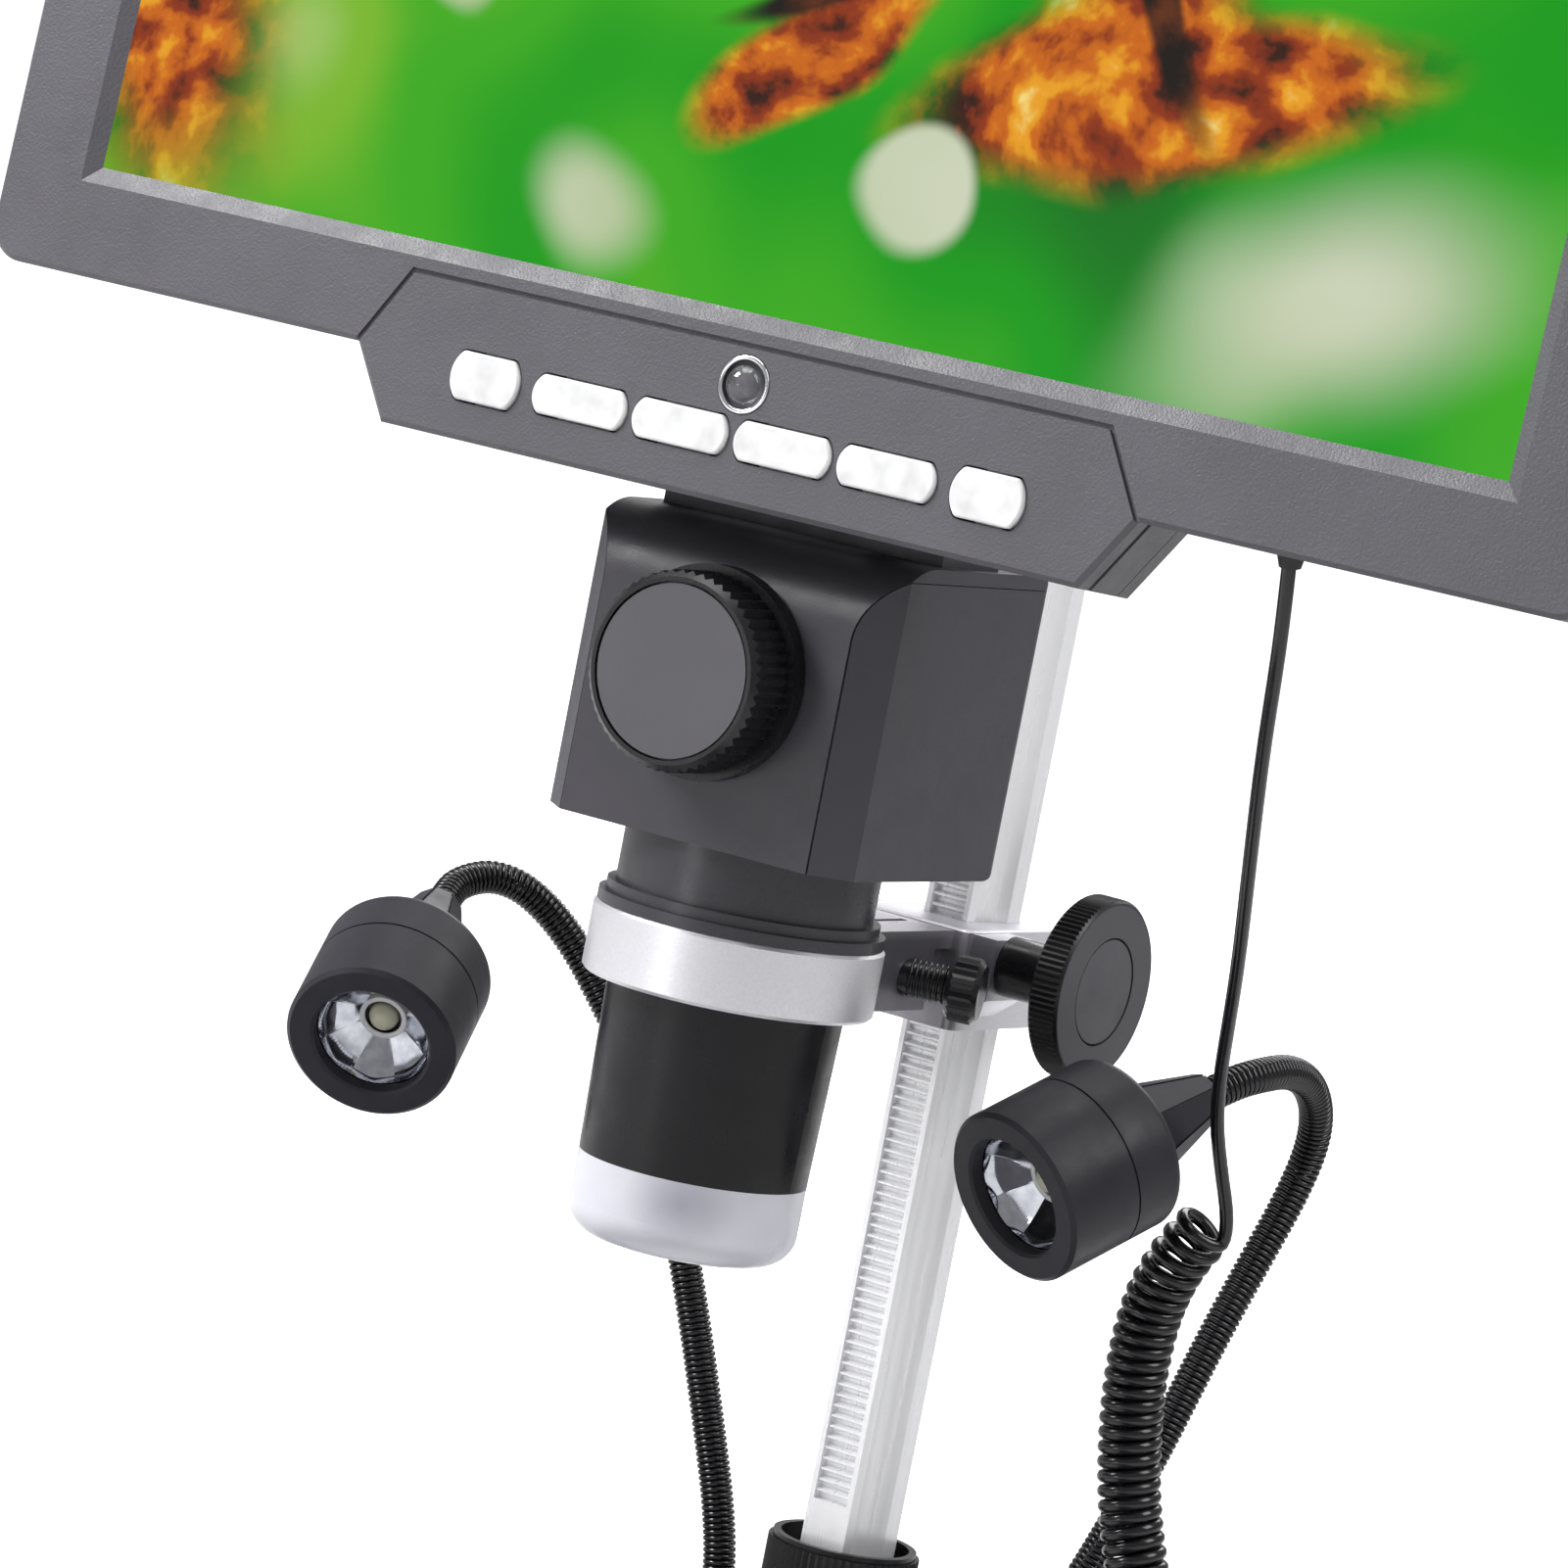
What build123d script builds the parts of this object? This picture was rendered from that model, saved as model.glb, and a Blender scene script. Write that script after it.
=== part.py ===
from build123d import *
import os
from math import atan, cos, degrees, pi, radians, sin, tan

# Digital microscope with a ten inch screen on a rack and pinion stand.
# Millimetres, +Z up, the front is -Y.  The origin is where the optical axis meets the table.
# Every height of the scope hangs from ring_top, and the screen has a tilted frame of its own.

# ---------------------------------------------------------------- clearances
running_fit = 0.05        # shafts and spigots in their bores, radial
sliding_fit = 0.15        # column in the carriage, seated plates in their pockets
seam = 0.2                # visible joint line between two shells
key_gap = 0.25            # round each key, in its hole

# ---------------------------------------------------------------- stand base
foot_height = 2.0
foot_radius = 8.0
base_width = 200.0
base_depth = 187.3        # the dimmer at the back reaches as far as the front edge does
base_front = -97.3
base_thickness = 12.0
base_corner = 12.0
base_edge = 1.5
base_wall = 3.0
base_roof = 3.5
foot_inset = 17.0
bottom_cover_thickness = 1.5
stage_radius = 47.5
stage_thickness = 2.5
base_screw_radius = 1.6
base_screw_head = 3.0
board_thickness = 1.6
pedestal_radius = 14.0
pedestal_height = 14.0

# ---------------------------------------------------------------- column and collar
column_y = 61.6
column_depth = 13.0
column_front_width = 7.2
column_rear_width = 9.6
column_length = 191.0
column_seat_depth = 3.0
front_land = 2.2
rear_land = 3.6
groove_sag = 1.2
gear_module = 0.5
tooth_share = 0.40        # tooth thickness at the pitch line, as a share of the pitch
rack_width = 5.6
rack_recess = 0.3
rack_foot_gap = 6.0       # plain pad between the collar and the lowest tooth
rack_head_gap = 8.0
column_cap_height = 3.0
column_bolt_radius = 3.0
collar_radius = 11.1
collar_height = 22.0
collar_rim_radius = 9.4
collar_rim_height = 0.8
spigot_radius = 9.5
spigot_height = 8.0

# ---------------------------------------------------------------- carriage with its ring clamp
ring_top = 142.0
ring_height = 9.7
ring_wall = 3.7
ring_edge = 0.5
carriage_half_width = 9.2
carriage_front_wall = 8.6
carriage_rear_wall = 3.4
carriage_rise = 0.4       # top of the block above the ring
carriage_edge = 0.3
carriage_drop = 14.0      # bottom of the block below the top of the ring
arm_half_width = 6.8
bridge_thickness = 2.6
clamp_slot = 1.2
ear_front = 26.5
ear_depth = 15.5
ear_drop = 11.4
thumb_drop = 6.6
thumb_y = 36.0            # where the screw enters the side of the arm
thumb_turn = 21.0         # of the screw toward the back
thumb_radius = 2.6
thumb_knob_radius = 4.75
thumb_knob_thickness = 4.7
thumb_reach = 6.0         # bare thread between the arm and the knob
thumb_bevel = 0.9
pinion_drop = 3.8
pinion_teeth = 12
pinion_backlash = 0.15
shaft_radius = 2.0
hub_radius = 4.35
hub_start = 13.2
hub_end = 23.0
height_knob_radius = 13.2
height_knob_ridges = 96
height_ridge_depth = 0.25
knob_bevel = 0.5
height_knob_thickness = 4.7
height_knob_gap = 1.1
height_disc_radius = 7.5
disc_depth = 1.0

# ---------------------------------------------------------------- scope
barrel_top_radius = 16.4
barrel_bottom_radius = 15.8
barrel_length = 34.1
barrel_bore = 13.6
cap_height = 11.3
cap_wall = 1.6
cap_edge = 4.5
cap_hole = 6.6
flange_radius = 19.8
flange_thickness = 1.6
flange_step_radius = 18.9
flange_step = 1.5
tube_radius = 17.8
tube_length = 11.3
tube_bore = 14.0
spigot_wall = 1.4
housing_half_width = 24.65
housing_front = -19.05
housing_rear = 23.6
housing_height = 42.4
housing_chamfer = 4.8
housing_wall = 2.2
top_round = 11.0
rear_round = 4.0
focus_height = 23.0       # above the floor of the housing
focus_knob_radius = 13.5
focus_skirt_radius = 14.5
focus_skirt = 2.5
focus_reach = 10.7
focus_ridges = 52
focus_ridge_depth = 0.5
focus_disc_radius = 11.6
focus_teeth = 10
cell_radius = 5.6
cell_bore = 4.2
cell_nose = 5.0           # of the lens cell below the end of the barrel
cell_length = 79.0
lens_thickness = 3.0
sensor_size = 32.0
sensor_chip = 1.2         # height of the image chip below its board
sensor_clearance = 5.0    # between the lens cell and the chip
post_radius = 2.0
post_inset = 3.0
sensor_post_y = 6.0

# ---------------------------------------------------------------- screen unit, in its own frame
# x across, y into the unit from the glass of the panel, z up from the lower edge of the picture.
lcd_width = 222.7
lcd_height = 125.3
lcd_border = 3.0
lcd_thickness = 3.2
lcd_y = -23.4
lcd_rise = 28.7           # lower edge of the picture above the top of the housing
screen_tilt = 4.0         # leaning back from the vertical, degrees
bezel_side = 16.0
bezel_top = 14.5
bezel_bottom = 15.4
bezel_corner = 5.5
glass_recess = 1.2
window_slope = 2.4
rim_depth = 2.0
rim_groove = 0.9
mid_depth = 10.0
unit_depth = 15.4
rear_bevel = 2.4
shell_wall = 2.2
web_thickness = 1.5
panel_half_top = 55.4
panel_half_middle = 62.1
panel_half_bottom = 55.6
panel_top = -4.3
panel_bottom = -25.4
panel_groove = 0.7
key_row = -16.7
key_pitch = 16.3
outer_key_x = 40.0
inner_key_width = 12.4
inner_key_height = 5.4
inner_key_bulge = 1.4
outer_key_width = 8.2
outer_key_height = 6.7
outer_key_bulge = 1.5
key_proud = 0.6
key_depth = 3.4
key_flange = 0.9
key_travel = 0.5
window_radius = 4.0
window_flange = 0.5
window_row = -9.5
pivot_depth = 28.5
pivot_height = -17.5
knuckle_radius = 6.5
knuckle_half_inner = 13.0
knuckle_half_outer = 22.5
pin_radius = 2.5
bracket_plate = 2.0
boot_x = 81.0
boot_depth = 6.2
boot_radius = 2.0
boot_length = 1.2
boot_tilt = 15.0          # of the cord's exit, toward the back

# ---------------------------------------------------------------- lamps and cord
lamp_radius = 12.5
lamp_length = 20.5
lamp_mouth = 8.5
lamp_mouth_bevel = 0.4
lamp_seam = 12.0          # joint line round the head, from its face
lamp_seam_width = 0.35
lamp_seam_depth = 0.2
lamp_wall = 1.6
lamp_front_wall = 2.2
ferrule_radius = 8.0
ferrule_tip_radius = 3.6
ferrule_length = 15.5
ferrule_facets = 8
ferrule_groove = 0.45     # width and depth of the grooves along its corners
neck_grip = 12.0          # of the neck inside the ferrule
lens_depth = 8.0
lens_rim = 1.2
lamp_back_wall = 2.0
lamp_led_height = 1.6
neck_radius = 2.5
neck_start = 4.0          # straight run of the neck behind the ferrule
neck_root_x = 25.0
neck_root_y = 72.4
socket_radius = 5.5
socket_height = 8.0
socket_seat = 1.0
cord_radius = 1.05
coil_radius = 4.7
gland_radius = 4.0
gland_height = 6.0
gland_depth = 3.0         # of the cord in the gland

# Chosen by hand: where each lamp looks from and to, and the middle lines of what bends,
# from the lamp or the screen downward.
lamp_faces = {"left": (-62.4, 10.0, 109.7), "right": (38.6, 20.0, 112.3)}
lamp_backs = {"left": (-0.342, 0.817, 0.464), "right": (0.277, 0.854, 0.440)}
neck_points = {
    "left": [
        (-75.9, 47.0, 130.3), (-73.7, 51.4, 131.4), (-69.6, 55.4, 129.8), (-64.1, 59.7, 124.2),
        (-58.2, 63.3, 115.5), (-51.3, 65.8, 105.6), (-44.4, 67.6, 92.8), (-37.4, 70.0, 73.6),
        (-31.4, 71.6, 56.0), (-28.0, 72.2, 46.0), (-25.8, 72.4, 37.0),
    ],
    "right": [
        (51.4, 60.5, 131.6), (51.3, 69.5, 132.0), (50.8, 77.3, 129.7), (50.2, 82.7, 125.3),
        (49.2, 85.3, 119.6), (47.4, 85.2, 111.7), (45.0, 83.0, 102.0), (42.4, 79.5, 89.7),
        (38.6, 76.0, 71.5), (33.6, 73.8, 55.0), (29.4, 72.9, 44.5), (26.4, 72.5, 36.0),
    ],
}
lead_points = [
    (79.4, -13.2, 194.9), (75.4, -4.5, 182.2), (70.5, 7.5, 166.6), (65.4, 20.0, 151.6),
    (60.4, 30.5, 140.6), (57.8, 36.0, 133.5), (56.2, 41.0, 126.1), (55.9, 46.0, 119.0),
    (56.3, 50.0, 111.5), (55.8, 51.0, 108.5),
]
coil_points = [
    (53.7, 50.5, 111.6), (50.9, 51.0, 108.0), (48.2, 51.7, 103.4), (46.1, 52.5, 97.8),
    (45.1, 53.3, 91.0), (45.0, 54.2, 83.1), (45.9, 54.9, 75.1), (47.5, 55.5, 67.3),
    (50.2, 56.0, 59.8), (52.2, 56.2, 52.6), (53.3, 56.3, 44.5), (53.5, 56.3, 35.0), (53.5, 56.3, 26.5),
]
gland_place = (53.5, 56.3)

# ---------------------------------------------------------------- sizes that follow
base_top = foot_height + base_thickness
base_middle_y = base_front + base_depth / 2
pedestal_top = base_top + pedestal_height
collar_top = pedestal_top + collar_height
spigot_top = pedestal_top + spigot_height
column_foot = pedestal_top - column_seat_depth
column_top = column_foot + column_length
column_front = column_y - column_depth / 2
column_back = column_y + column_depth / 2
pitch = pi * gear_module
rack_tip_y = column_front + rack_recess
rack_pitch_y = rack_tip_y + gear_module
pinion_radius = gear_module * pinion_teeth / 2
pinion_y = rack_pitch_y - pinion_radius - pinion_backlash
pinion_z = ring_top - pinion_drop
ring_radius = barrel_top_radius + running_fit + ring_wall
ring_bottom = ring_top - ring_height
carriage_front = column_front - carriage_front_wall
carriage_back = column_back + carriage_rear_wall
thumb_z = ring_top - thumb_drop
barrel_end = ring_top - barrel_length
housing_floor = ring_top + tube_length
housing_top = housing_floor + housing_height
focus_z = housing_floor + focus_height
focus_pitch_radius = gear_module * focus_teeth / 2
cell_foot = barrel_end - cell_nose
cell_head = cell_foot + cell_length
lcd_z = housing_top + lcd_rise
pivot_y = lcd_y + pivot_depth * cos(radians(screen_tilt)) + pivot_height * sin(radians(screen_tilt))
pivot_z = lcd_z - pivot_depth * sin(radians(screen_tilt)) + pivot_height * cos(radians(screen_tilt))
height_knob_inner = hub_end + height_knob_gap
height_knob_outer = height_knob_inner + height_knob_thickness
unit_half_width = lcd_width / 2 + bezel_side
unit_height = lcd_height + bezel_top + bezel_bottom
unit_middle = (lcd_height + bezel_top - bezel_bottom) / 2
key_board_depth = key_depth + key_travel + 0.1

UP = (Align.CENTER, Align.CENTER, Align.MIN)
TURNS = {"x": Rot(0, 90, 0), "y": Rot(-90, 0, 0), "z": Rot(0, 0, 0)}
parts = {}


# ---------------------------------------------------------------- shapes used again and again
def round_bar(radius, length, at=(0, 0, 0), axis="z"):
    """A cylinder that starts at a point and runs along +axis."""
    return Pos(*at) * TURNS[axis] * Cylinder(radius, length, align=UP)


def pipe(outer, inner, length, at=(0, 0, 0), axis="z"):
    return round_bar(outer, length, at, axis) - round_bar(inner, length, at, axis)


def cone_bar(start_radius, end_radius, length, at=(0, 0, 0)):
    return Pos(*at) * Cone(start_radius, end_radius, length, align=UP)


def block(x0, x1, y0, y1, z0, z1):
    middle = ((x0 + x1) / 2, (y0 + y1) / 2, (z0 + z1) / 2)
    return Pos(*middle) * Box(x1 - x0, y1 - y0, z1 - z0)


def ring_points(count, radius_of):
    """Points round a circle; radius_of gives each point's radius from its number."""
    turn = 2 * pi / count
    return [(radius_of(i) * cos(i * turn), radius_of(i) * sin(i * turn)) for i in range(count)]


def knurled(radius, depth, ridges, length, at=(0, 0, 0), axis="z"):
    """A disc whose rim carries straight V ridges along its axis."""
    outline = ring_points(2 * ridges, lambda i: radius - depth * (i % 2))
    wheel = extrude(Polygon(*outline, align=None), amount=length)
    return Pos(*at) * TURNS[axis] * wheel


def bevelled_bar(radius, length, bevel, at=(0, 0, 0), axis="z"):
    """A cylinder with both its rims bevelled, to trim the ends of a knurl."""
    bar = Cylinder(radius, length, align=UP)
    return Pos(*at) * TURNS[axis] * chamfer(bar.edges().filter_by(GeomType.CIRCLE), bevel)


def gear(teeth, length):
    """A spur gear along +Z, with a tooth at the +X side."""
    radius = gear_module * teeth / 2
    half = tooth_share * pitch / 2
    slope = tan(radians(20))
    root, tip = radius - 1.25 * gear_module, radius + 0.9 * gear_module
    root_half = (half + 1.25 * gear_module * slope) / radius
    tip_half = (half - 0.9 * gear_module * slope) / radius
    points = []
    for i in range(teeth):
        middle = 2 * pi * i / teeth
        for size, angle in ((root, -root_half), (tip, -tip_half), (tip, tip_half), (root, root_half)):
            points.append((size * cos(middle + angle), size * sin(middle + angle)))
    return extrude(Polygon(*points, align=None), amount=length)


def rack_outline(first, last, zero, back):
    """Teeth along +Y of a sketch that point to -X; a gap has its middle at zero."""
    half = tooth_share * pitch / 2
    slope = tan(radians(20))
    tip_half = half - gear_module * slope
    root = 1.25 * gear_module
    root_half = half + root * slope
    count_first = int((first - zero) / pitch)
    count_last = int((last - zero) / pitch)
    points = [(back, first)]
    points.append((root, first))
    for number in range(count_first, count_last):
        middle = zero + (number + 0.5) * pitch
        if middle - root_half < first or middle + root_half > last:
            continue
        points += [(root, middle - root_half), (-gear_module, middle - tip_half)]
        points += [(-gear_module, middle + tip_half), (root, middle + root_half)]
    points += [(root, last), (back, last)]
    return Polygon(*points, align=None)


def route(points, name):
    """Straight runs joined by tangent arcs, each as large as its two runs allow."""
    radii = []
    for before, here, after in zip(points, points[1:], points[2:]):
        into, out = Vector(*here) - Vector(*before), Vector(*after) - Vector(*here)
        half_turn = radians(into.get_angle(out)) / 2
        radii.append(0.45 * min(into.length, out.length) / tan(half_turn))
    print(name, "radii", [round(radius, 1) for radius in radii])
    return FilletPolyline(*points, radius=radii)


def swept_tube(points, radius, name):
    path = route(points, name)
    start = Plane(origin=path @ 0, z_dir=path % 0)
    tube = sweep(start * Circle(radius), path=path)
    expected = pi * radius ** 2 * path.length
    print(name, "length", round(path.length, 1), "volume ratio", round(tube.volume / expected, 4))
    return tube


def rise(sketch, low, high):
    """A sketch of x and y, raised from one height to another."""
    return extrude(Pos(0, 0, low) * sketch, amount=high - low, dir=(0, 0, 1))


def on_face(sketch, start, end):
    """A sketch of x and z, carried along +Y from one depth to another."""
    plane = Plane(origin=(0, start, 0), x_dir=(1, 0, 0), z_dir=(0, -1, 0))
    return extrude(plane * sketch, amount=end - start, dir=(0, 1, 0))


def across(sketch, start, end):
    """A sketch of y and z, carried along +X from one side to another."""
    plane = Plane(origin=(start, 0, 0), x_dir=(0, 1, 0), z_dir=(1, 0, 0))
    return extrude(plane * sketch, amount=end - start, dir=(1, 0, 0))


# ---------------------------------------------------------------- base
def base_outline(inset=0.0):
    size = (base_width - 2 * inset, base_depth - 2 * inset)
    return Pos(0, base_middle_y) * RectangleRounded(*size, base_corner - inset)


def corner_places(inset):
    half_x, half_y = base_width / 2 - inset, base_depth / 2 - inset
    return [(sx * half_x, base_middle_y + sy * half_y) for sx in (-1, 1) for sy in (-1, 1)]


def column_outline(gap=0.0):
    """Front rail, hollow flanks and a wider rear rail."""
    front, back = column_front - gap, column_back + gap
    half_front, half_rear = column_front_width / 2 + gap, column_rear_width / 2 + gap
    groove_start, groove_end = column_front + front_land, column_back - rear_land
    middle = ((half_front + half_rear) / 2 - groove_sag, (groove_start + groove_end) / 2)
    right = [
        Line((half_front, front), (half_front, groove_start)),
        ThreePointArc((half_front, groove_start), middle, (half_rear, groove_end)),
        Line((half_rear, groove_end), (half_rear, back)),
    ]
    left = [edge.mirror(Plane.YZ) for edge in right]
    ends = [Line((-half_front, front), (half_front, front)), Line((-half_rear, back), (half_rear, back))]
    return make_face(Curve() + right + left + ends)


def column_sleeve(gap):
    """The column's widest outline, without its grooves."""
    front, back = column_front - gap, column_back + gap
    half_front, half_rear = column_front_width / 2 + gap, column_rear_width / 2 + gap
    shoulder = column_front + front_land
    corners = [(-half_front, front), (half_front, front), (half_front, shoulder)]
    corners += [(half_rear, column_back - rear_land), (half_rear, back), (-half_rear, back)]
    corners += [(-half_rear, column_back - rear_land), (-half_front, shoulder)]
    return Polygon(*corners, align=None)


cover_top = foot_height + bottom_cover_thickness
cavity_top = base_top - base_roof
base_solid = rise(base_outline(), foot_height, base_top)
base_solid = chamfer(base_solid.edges().group_by(Axis.Z)[-1], base_edge)
cavity = rise(base_outline(base_wall), foot_height, cavity_top)
column_boss_radius = 13.0
boss_height = cavity_top - cover_top
screw_places = corner_places(foot_inset + foot_radius + 4.0)
for x, y in screw_places:
    cavity -= round_bar(base_screw_head + 1.0, boss_height, (x, y, cover_top))
cavity -= round_bar(column_boss_radius, boss_height, (0, column_y, cover_top))
for side in (-1, 1):
    cavity -= round_bar(socket_radius + 1.0, boss_height, (side * neck_root_x, neck_root_y, cover_top))
base_solid -= cavity
base_solid -= round_bar(stage_radius + sliding_fit, stage_thickness, (0, 0, base_top - stage_thickness))
pedestal = round_bar(pedestal_radius, pedestal_height, (0, column_y, base_top))
base_solid += chamfer(pedestal.edges().sort_by(Axis.Z)[-1], base_edge)
base_solid += round_bar(spigot_radius, spigot_height, (0, column_y, pedestal_top))
base_solid -= rise(column_sleeve(sliding_fit), column_foot, spigot_top)
base_solid -= round_bar(column_bolt_radius + running_fit, column_foot, (0, column_y, 0))
for x, y in screw_places:
    base_solid -= round_bar(base_screw_radius, boss_height, (x, y, foot_height))
dimmer_x, dimmer_y = 70.0, base_front + base_depth
dimmer_radius, dimmer_length = 4.6, 7.0
dimmer_z = foot_height + base_thickness / 2
base_solid -= round_bar(shaft_radius + running_fit, base_wall, (dimmer_x, dimmer_y - base_wall, dimmer_z), "y")
gland_hole = gland_radius - 1.2
base_solid -= round_bar(gland_hole, base_roof, (*gland_place, base_top - base_roof))
parts["base_plate"] = base_solid

cover_outline = base_outline(base_wall + sliding_fit)
bottom_cover = rise(cover_outline, foot_height, cover_top)
for x, y in screw_places:
    bottom_cover -= round_bar(base_screw_radius + running_fit, bottom_cover_thickness, (x, y, foot_height))
bolt_head_radius = 5.0
bottom_cover -= round_bar(bolt_head_radius + sliding_fit, bottom_cover_thickness, (0, column_y, foot_height))
parts["base_bottom_cover"] = bottom_cover

parts["rubber_feet"] = Compound([
    round_bar(foot_radius, foot_height, (x, y, 0)) for x, y in corner_places(foot_inset)
])

screws = []
screw_head_height = 1.2
for x, y in screw_places:
    stem = round_bar(base_screw_radius - running_fit, boss_height, (x, y, foot_height))
    screws.append(stem + round_bar(base_screw_head, screw_head_height, (x, y, foot_height - screw_head_height)))
bolt_end = column_foot + 12.0
bolt = round_bar(column_bolt_radius, bolt_end - foot_height, (0, column_y, foot_height))
bolt += round_bar(bolt_head_radius, bottom_cover_thickness, (0, column_y, foot_height))
screws.append(bolt)
parts["base_screws"] = Compound(screws)

stage = round_bar(stage_radius, stage_thickness, (0, 0, base_top - stage_thickness))
parts["stage_insert"] = chamfer(stage.edges().sort_by(Axis.Z)[-1], 0.4)

# the dimmer stands at the rear edge of its board, which carries the lamp current
dimmer_body = 9.0
board_width, board_depth = 44.0, 20.0
board_back = dimmer_y - base_wall - 0.3
driver = block(dimmer_x - board_width + dimmer_body, dimmer_x + dimmer_body,
               board_back - board_depth, board_back, cover_top, cover_top + board_thickness)
driver += block(dimmer_x - dimmer_body / 2, dimmer_x + dimmer_body / 2,
                board_back - dimmer_body, board_back, cover_top + board_thickness, cavity_top - 0.4)
dimmer_bore = (dimmer_x, board_back - dimmer_body / 2, dimmer_z)
driver -= round_bar(shaft_radius + running_fit, dimmer_body / 2, dimmer_bore, "y")
chip = block(-5, 5, -4, 4, 0, 1.4)
driver += Pos(dimmer_x - 22, board_back - board_depth / 2, cover_top + board_thickness) * chip
parts["lamp_driver_board"] = driver

dimmer = knurled(dimmer_radius, 0.35, 24, dimmer_length, (dimmer_x, dimmer_y + 0.3, dimmer_z), "y")
dimmer += round_bar(shaft_radius, base_wall + 4.0, (dimmer_x, dimmer_y + 0.3 - base_wall - 4.0, dimmer_z), "y")
parts["dimmer_knob"] = dimmer

gland = round_bar(gland_radius, gland_height, (*gland_place, base_top))
gland = chamfer(gland.edges().sort_by(Axis.Z)[-1], 1.2)
gland += round_bar(gland_hole - running_fit, base_roof, (*gland_place, base_top - base_roof))
gland -= round_bar(cord_radius + running_fit, gland_depth, (*gland_place, base_top + gland_height - gland_depth))
parts["cord_gland"] = gland

sockets = []
for side in (-1, 1):
    place = (side * neck_root_x, neck_root_y, base_top)
    socket = round_bar(socket_radius, socket_height, place)
    socket = chamfer(socket.edges().sort_by(Axis.Z)[-1], 1.0)
    seat = (place[0], place[1], base_top + socket_seat)
    sockets.append(socket - round_bar(neck_radius + running_fit, socket_height, seat))
parts["neck_sockets"] = Compound(sockets)

# ---------------------------------------------------------------- collar and column
collar = knurled(collar_radius, 0.3, 60, collar_height - collar_rim_height, (0, column_y, pedestal_top))
collar += round_bar(collar_radius - 0.6, collar_rim_height, (0, column_y, collar_top - collar_rim_height))
collar -= round_bar(spigot_radius + running_fit, spigot_height + 1.0, (0, column_y, pedestal_top))
collar -= round_bar(collar_rim_radius, collar_height, (0, column_y, pedestal_top))
parts["collar_nut"] = collar

column = rise(column_outline(), column_foot, column_top)
channel_depth = rack_recess + 2.25 * gear_module
rack_first, rack_last = collar_top + rack_foot_gap, column_top - rack_head_gap
channel_back = column_front + channel_depth
column -= block(-rack_width / 2, rack_width / 2, column_front, channel_back, rack_first, rack_last)
teeth_sketch = rack_outline(rack_first, rack_last, pinion_z, 1.25 * gear_module + 0.4)
column += across(Pos(rack_pitch_y, 0) * teeth_sketch, -rack_width / 2, rack_width / 2)
column -= round_bar(column_bolt_radius + running_fit, bolt_end - column_foot, (0, column_y, column_foot))
plug_radius, plug_length = 2.0, 6.0
column -= round_bar(plug_radius, plug_length, (0, column_y, column_top - plug_length))
parts["column"] = column

cap_block = rise(column_sleeve(0.4), column_top, column_top + column_cap_height)
cap_block = chamfer(cap_block.edges().group_by(Axis.Z)[-1], 0.6)
plug_foot = column_top - plug_length + 0.5
cap_block += round_bar(plug_radius - running_fit, plug_length - 0.5, (0, column_y, plug_foot))
parts["column_cap"] = cap_block

# ---------------------------------------------------------------- carriage, ring clamp, drives
carriage_low, carriage_high = ring_top - carriage_drop, ring_top + carriage_rise
carriage = block(-carriage_half_width, carriage_half_width, carriage_front, carriage_back,
                 carriage_low, carriage_high)
carriage = fillet(carriage.edges().filter_by(Axis.Z), 1.6)
carriage = chamfer(carriage.edges().group_by(Axis.Z)[-1], carriage_edge)
for side in (-1, 1):
    wing = [(side * (carriage_half_width - 1.0), ring_top), (side * hub_start, ring_top),
            (side * hub_start, pinion_z - hub_radius - 0.6), (side * (carriage_half_width - 1.0), pinion_z - 9.0)]
    carriage += on_face(Polygon(*wing, align=None), pinion_y - hub_radius - 0.6, pinion_y + hub_radius + 0.6)
arm = block(-arm_half_width, arm_half_width, 0, carriage_front + 1.0, ring_top - bridge_thickness, ring_top)
arm += block(-arm_half_width, arm_half_width, ear_front, ear_front + ear_depth, ring_top - ear_drop, ring_top)
arm += block(-arm_half_width + 1.6, arm_half_width - 1.6, ear_front + 1.0, carriage_front + 1.0,
             ring_top - ear_drop + 2.0, ring_top)
carriage += arm
carriage += bevelled_bar(ring_radius, ring_height, ring_edge, (0, 0, ring_bottom))
carriage -= round_bar(barrel_top_radius + running_fit, 2 * ring_height, (0, 0, ring_bottom - ring_height / 2))
carriage -= block(-clamp_slot / 2, clamp_slot / 2, 0, ear_front + ear_depth + 2.0, ring_bottom - 5, ring_top + 1)
carriage -= rise(column_sleeve(sliding_fit), carriage_low, carriage_high)
carriage -= round_bar(pinion_radius + 0.9, rack_width, (-rack_width / 2, pinion_y, pinion_z), "x")
bore_length = 2 * (carriage_half_width + 5)
thumb_place = Pos(arm_half_width, thumb_y, thumb_z) * Rot(0, 0, thumb_turn)
carriage -= round_bar(shaft_radius + running_fit, bore_length, (-bore_length / 2, pinion_y, pinion_z), "x")
carriage -= thumb_place * round_bar(thumb_radius + running_fit, 2 * bore_length, (-bore_length, 0, 0), "x")
parts["carriage_arm"] = carriage

hubs = []
for side in (-1, 1):
    start = hub_start if side > 0 else -hub_end
    hubs.append(pipe(hub_radius, shaft_radius + running_fit, hub_end - hub_start, (start, pinion_y, pinion_z), "x"))
parts["shaft_hubs"] = Compound(hubs)

pinion_length = rack_width - 0.8
wheel = Pos(-pinion_length / 2, pinion_y, pinion_z) * TURNS["x"] * Rot(0, 0, 90) * gear(pinion_teeth, pinion_length)
shaft_half = height_knob_outer - disc_depth - 0.4
pinion = wheel + round_bar(shaft_radius, 2 * shaft_half, (-shaft_half, pinion_y, pinion_z), "x")
parts["pinion_shaft"] = pinion

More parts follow.
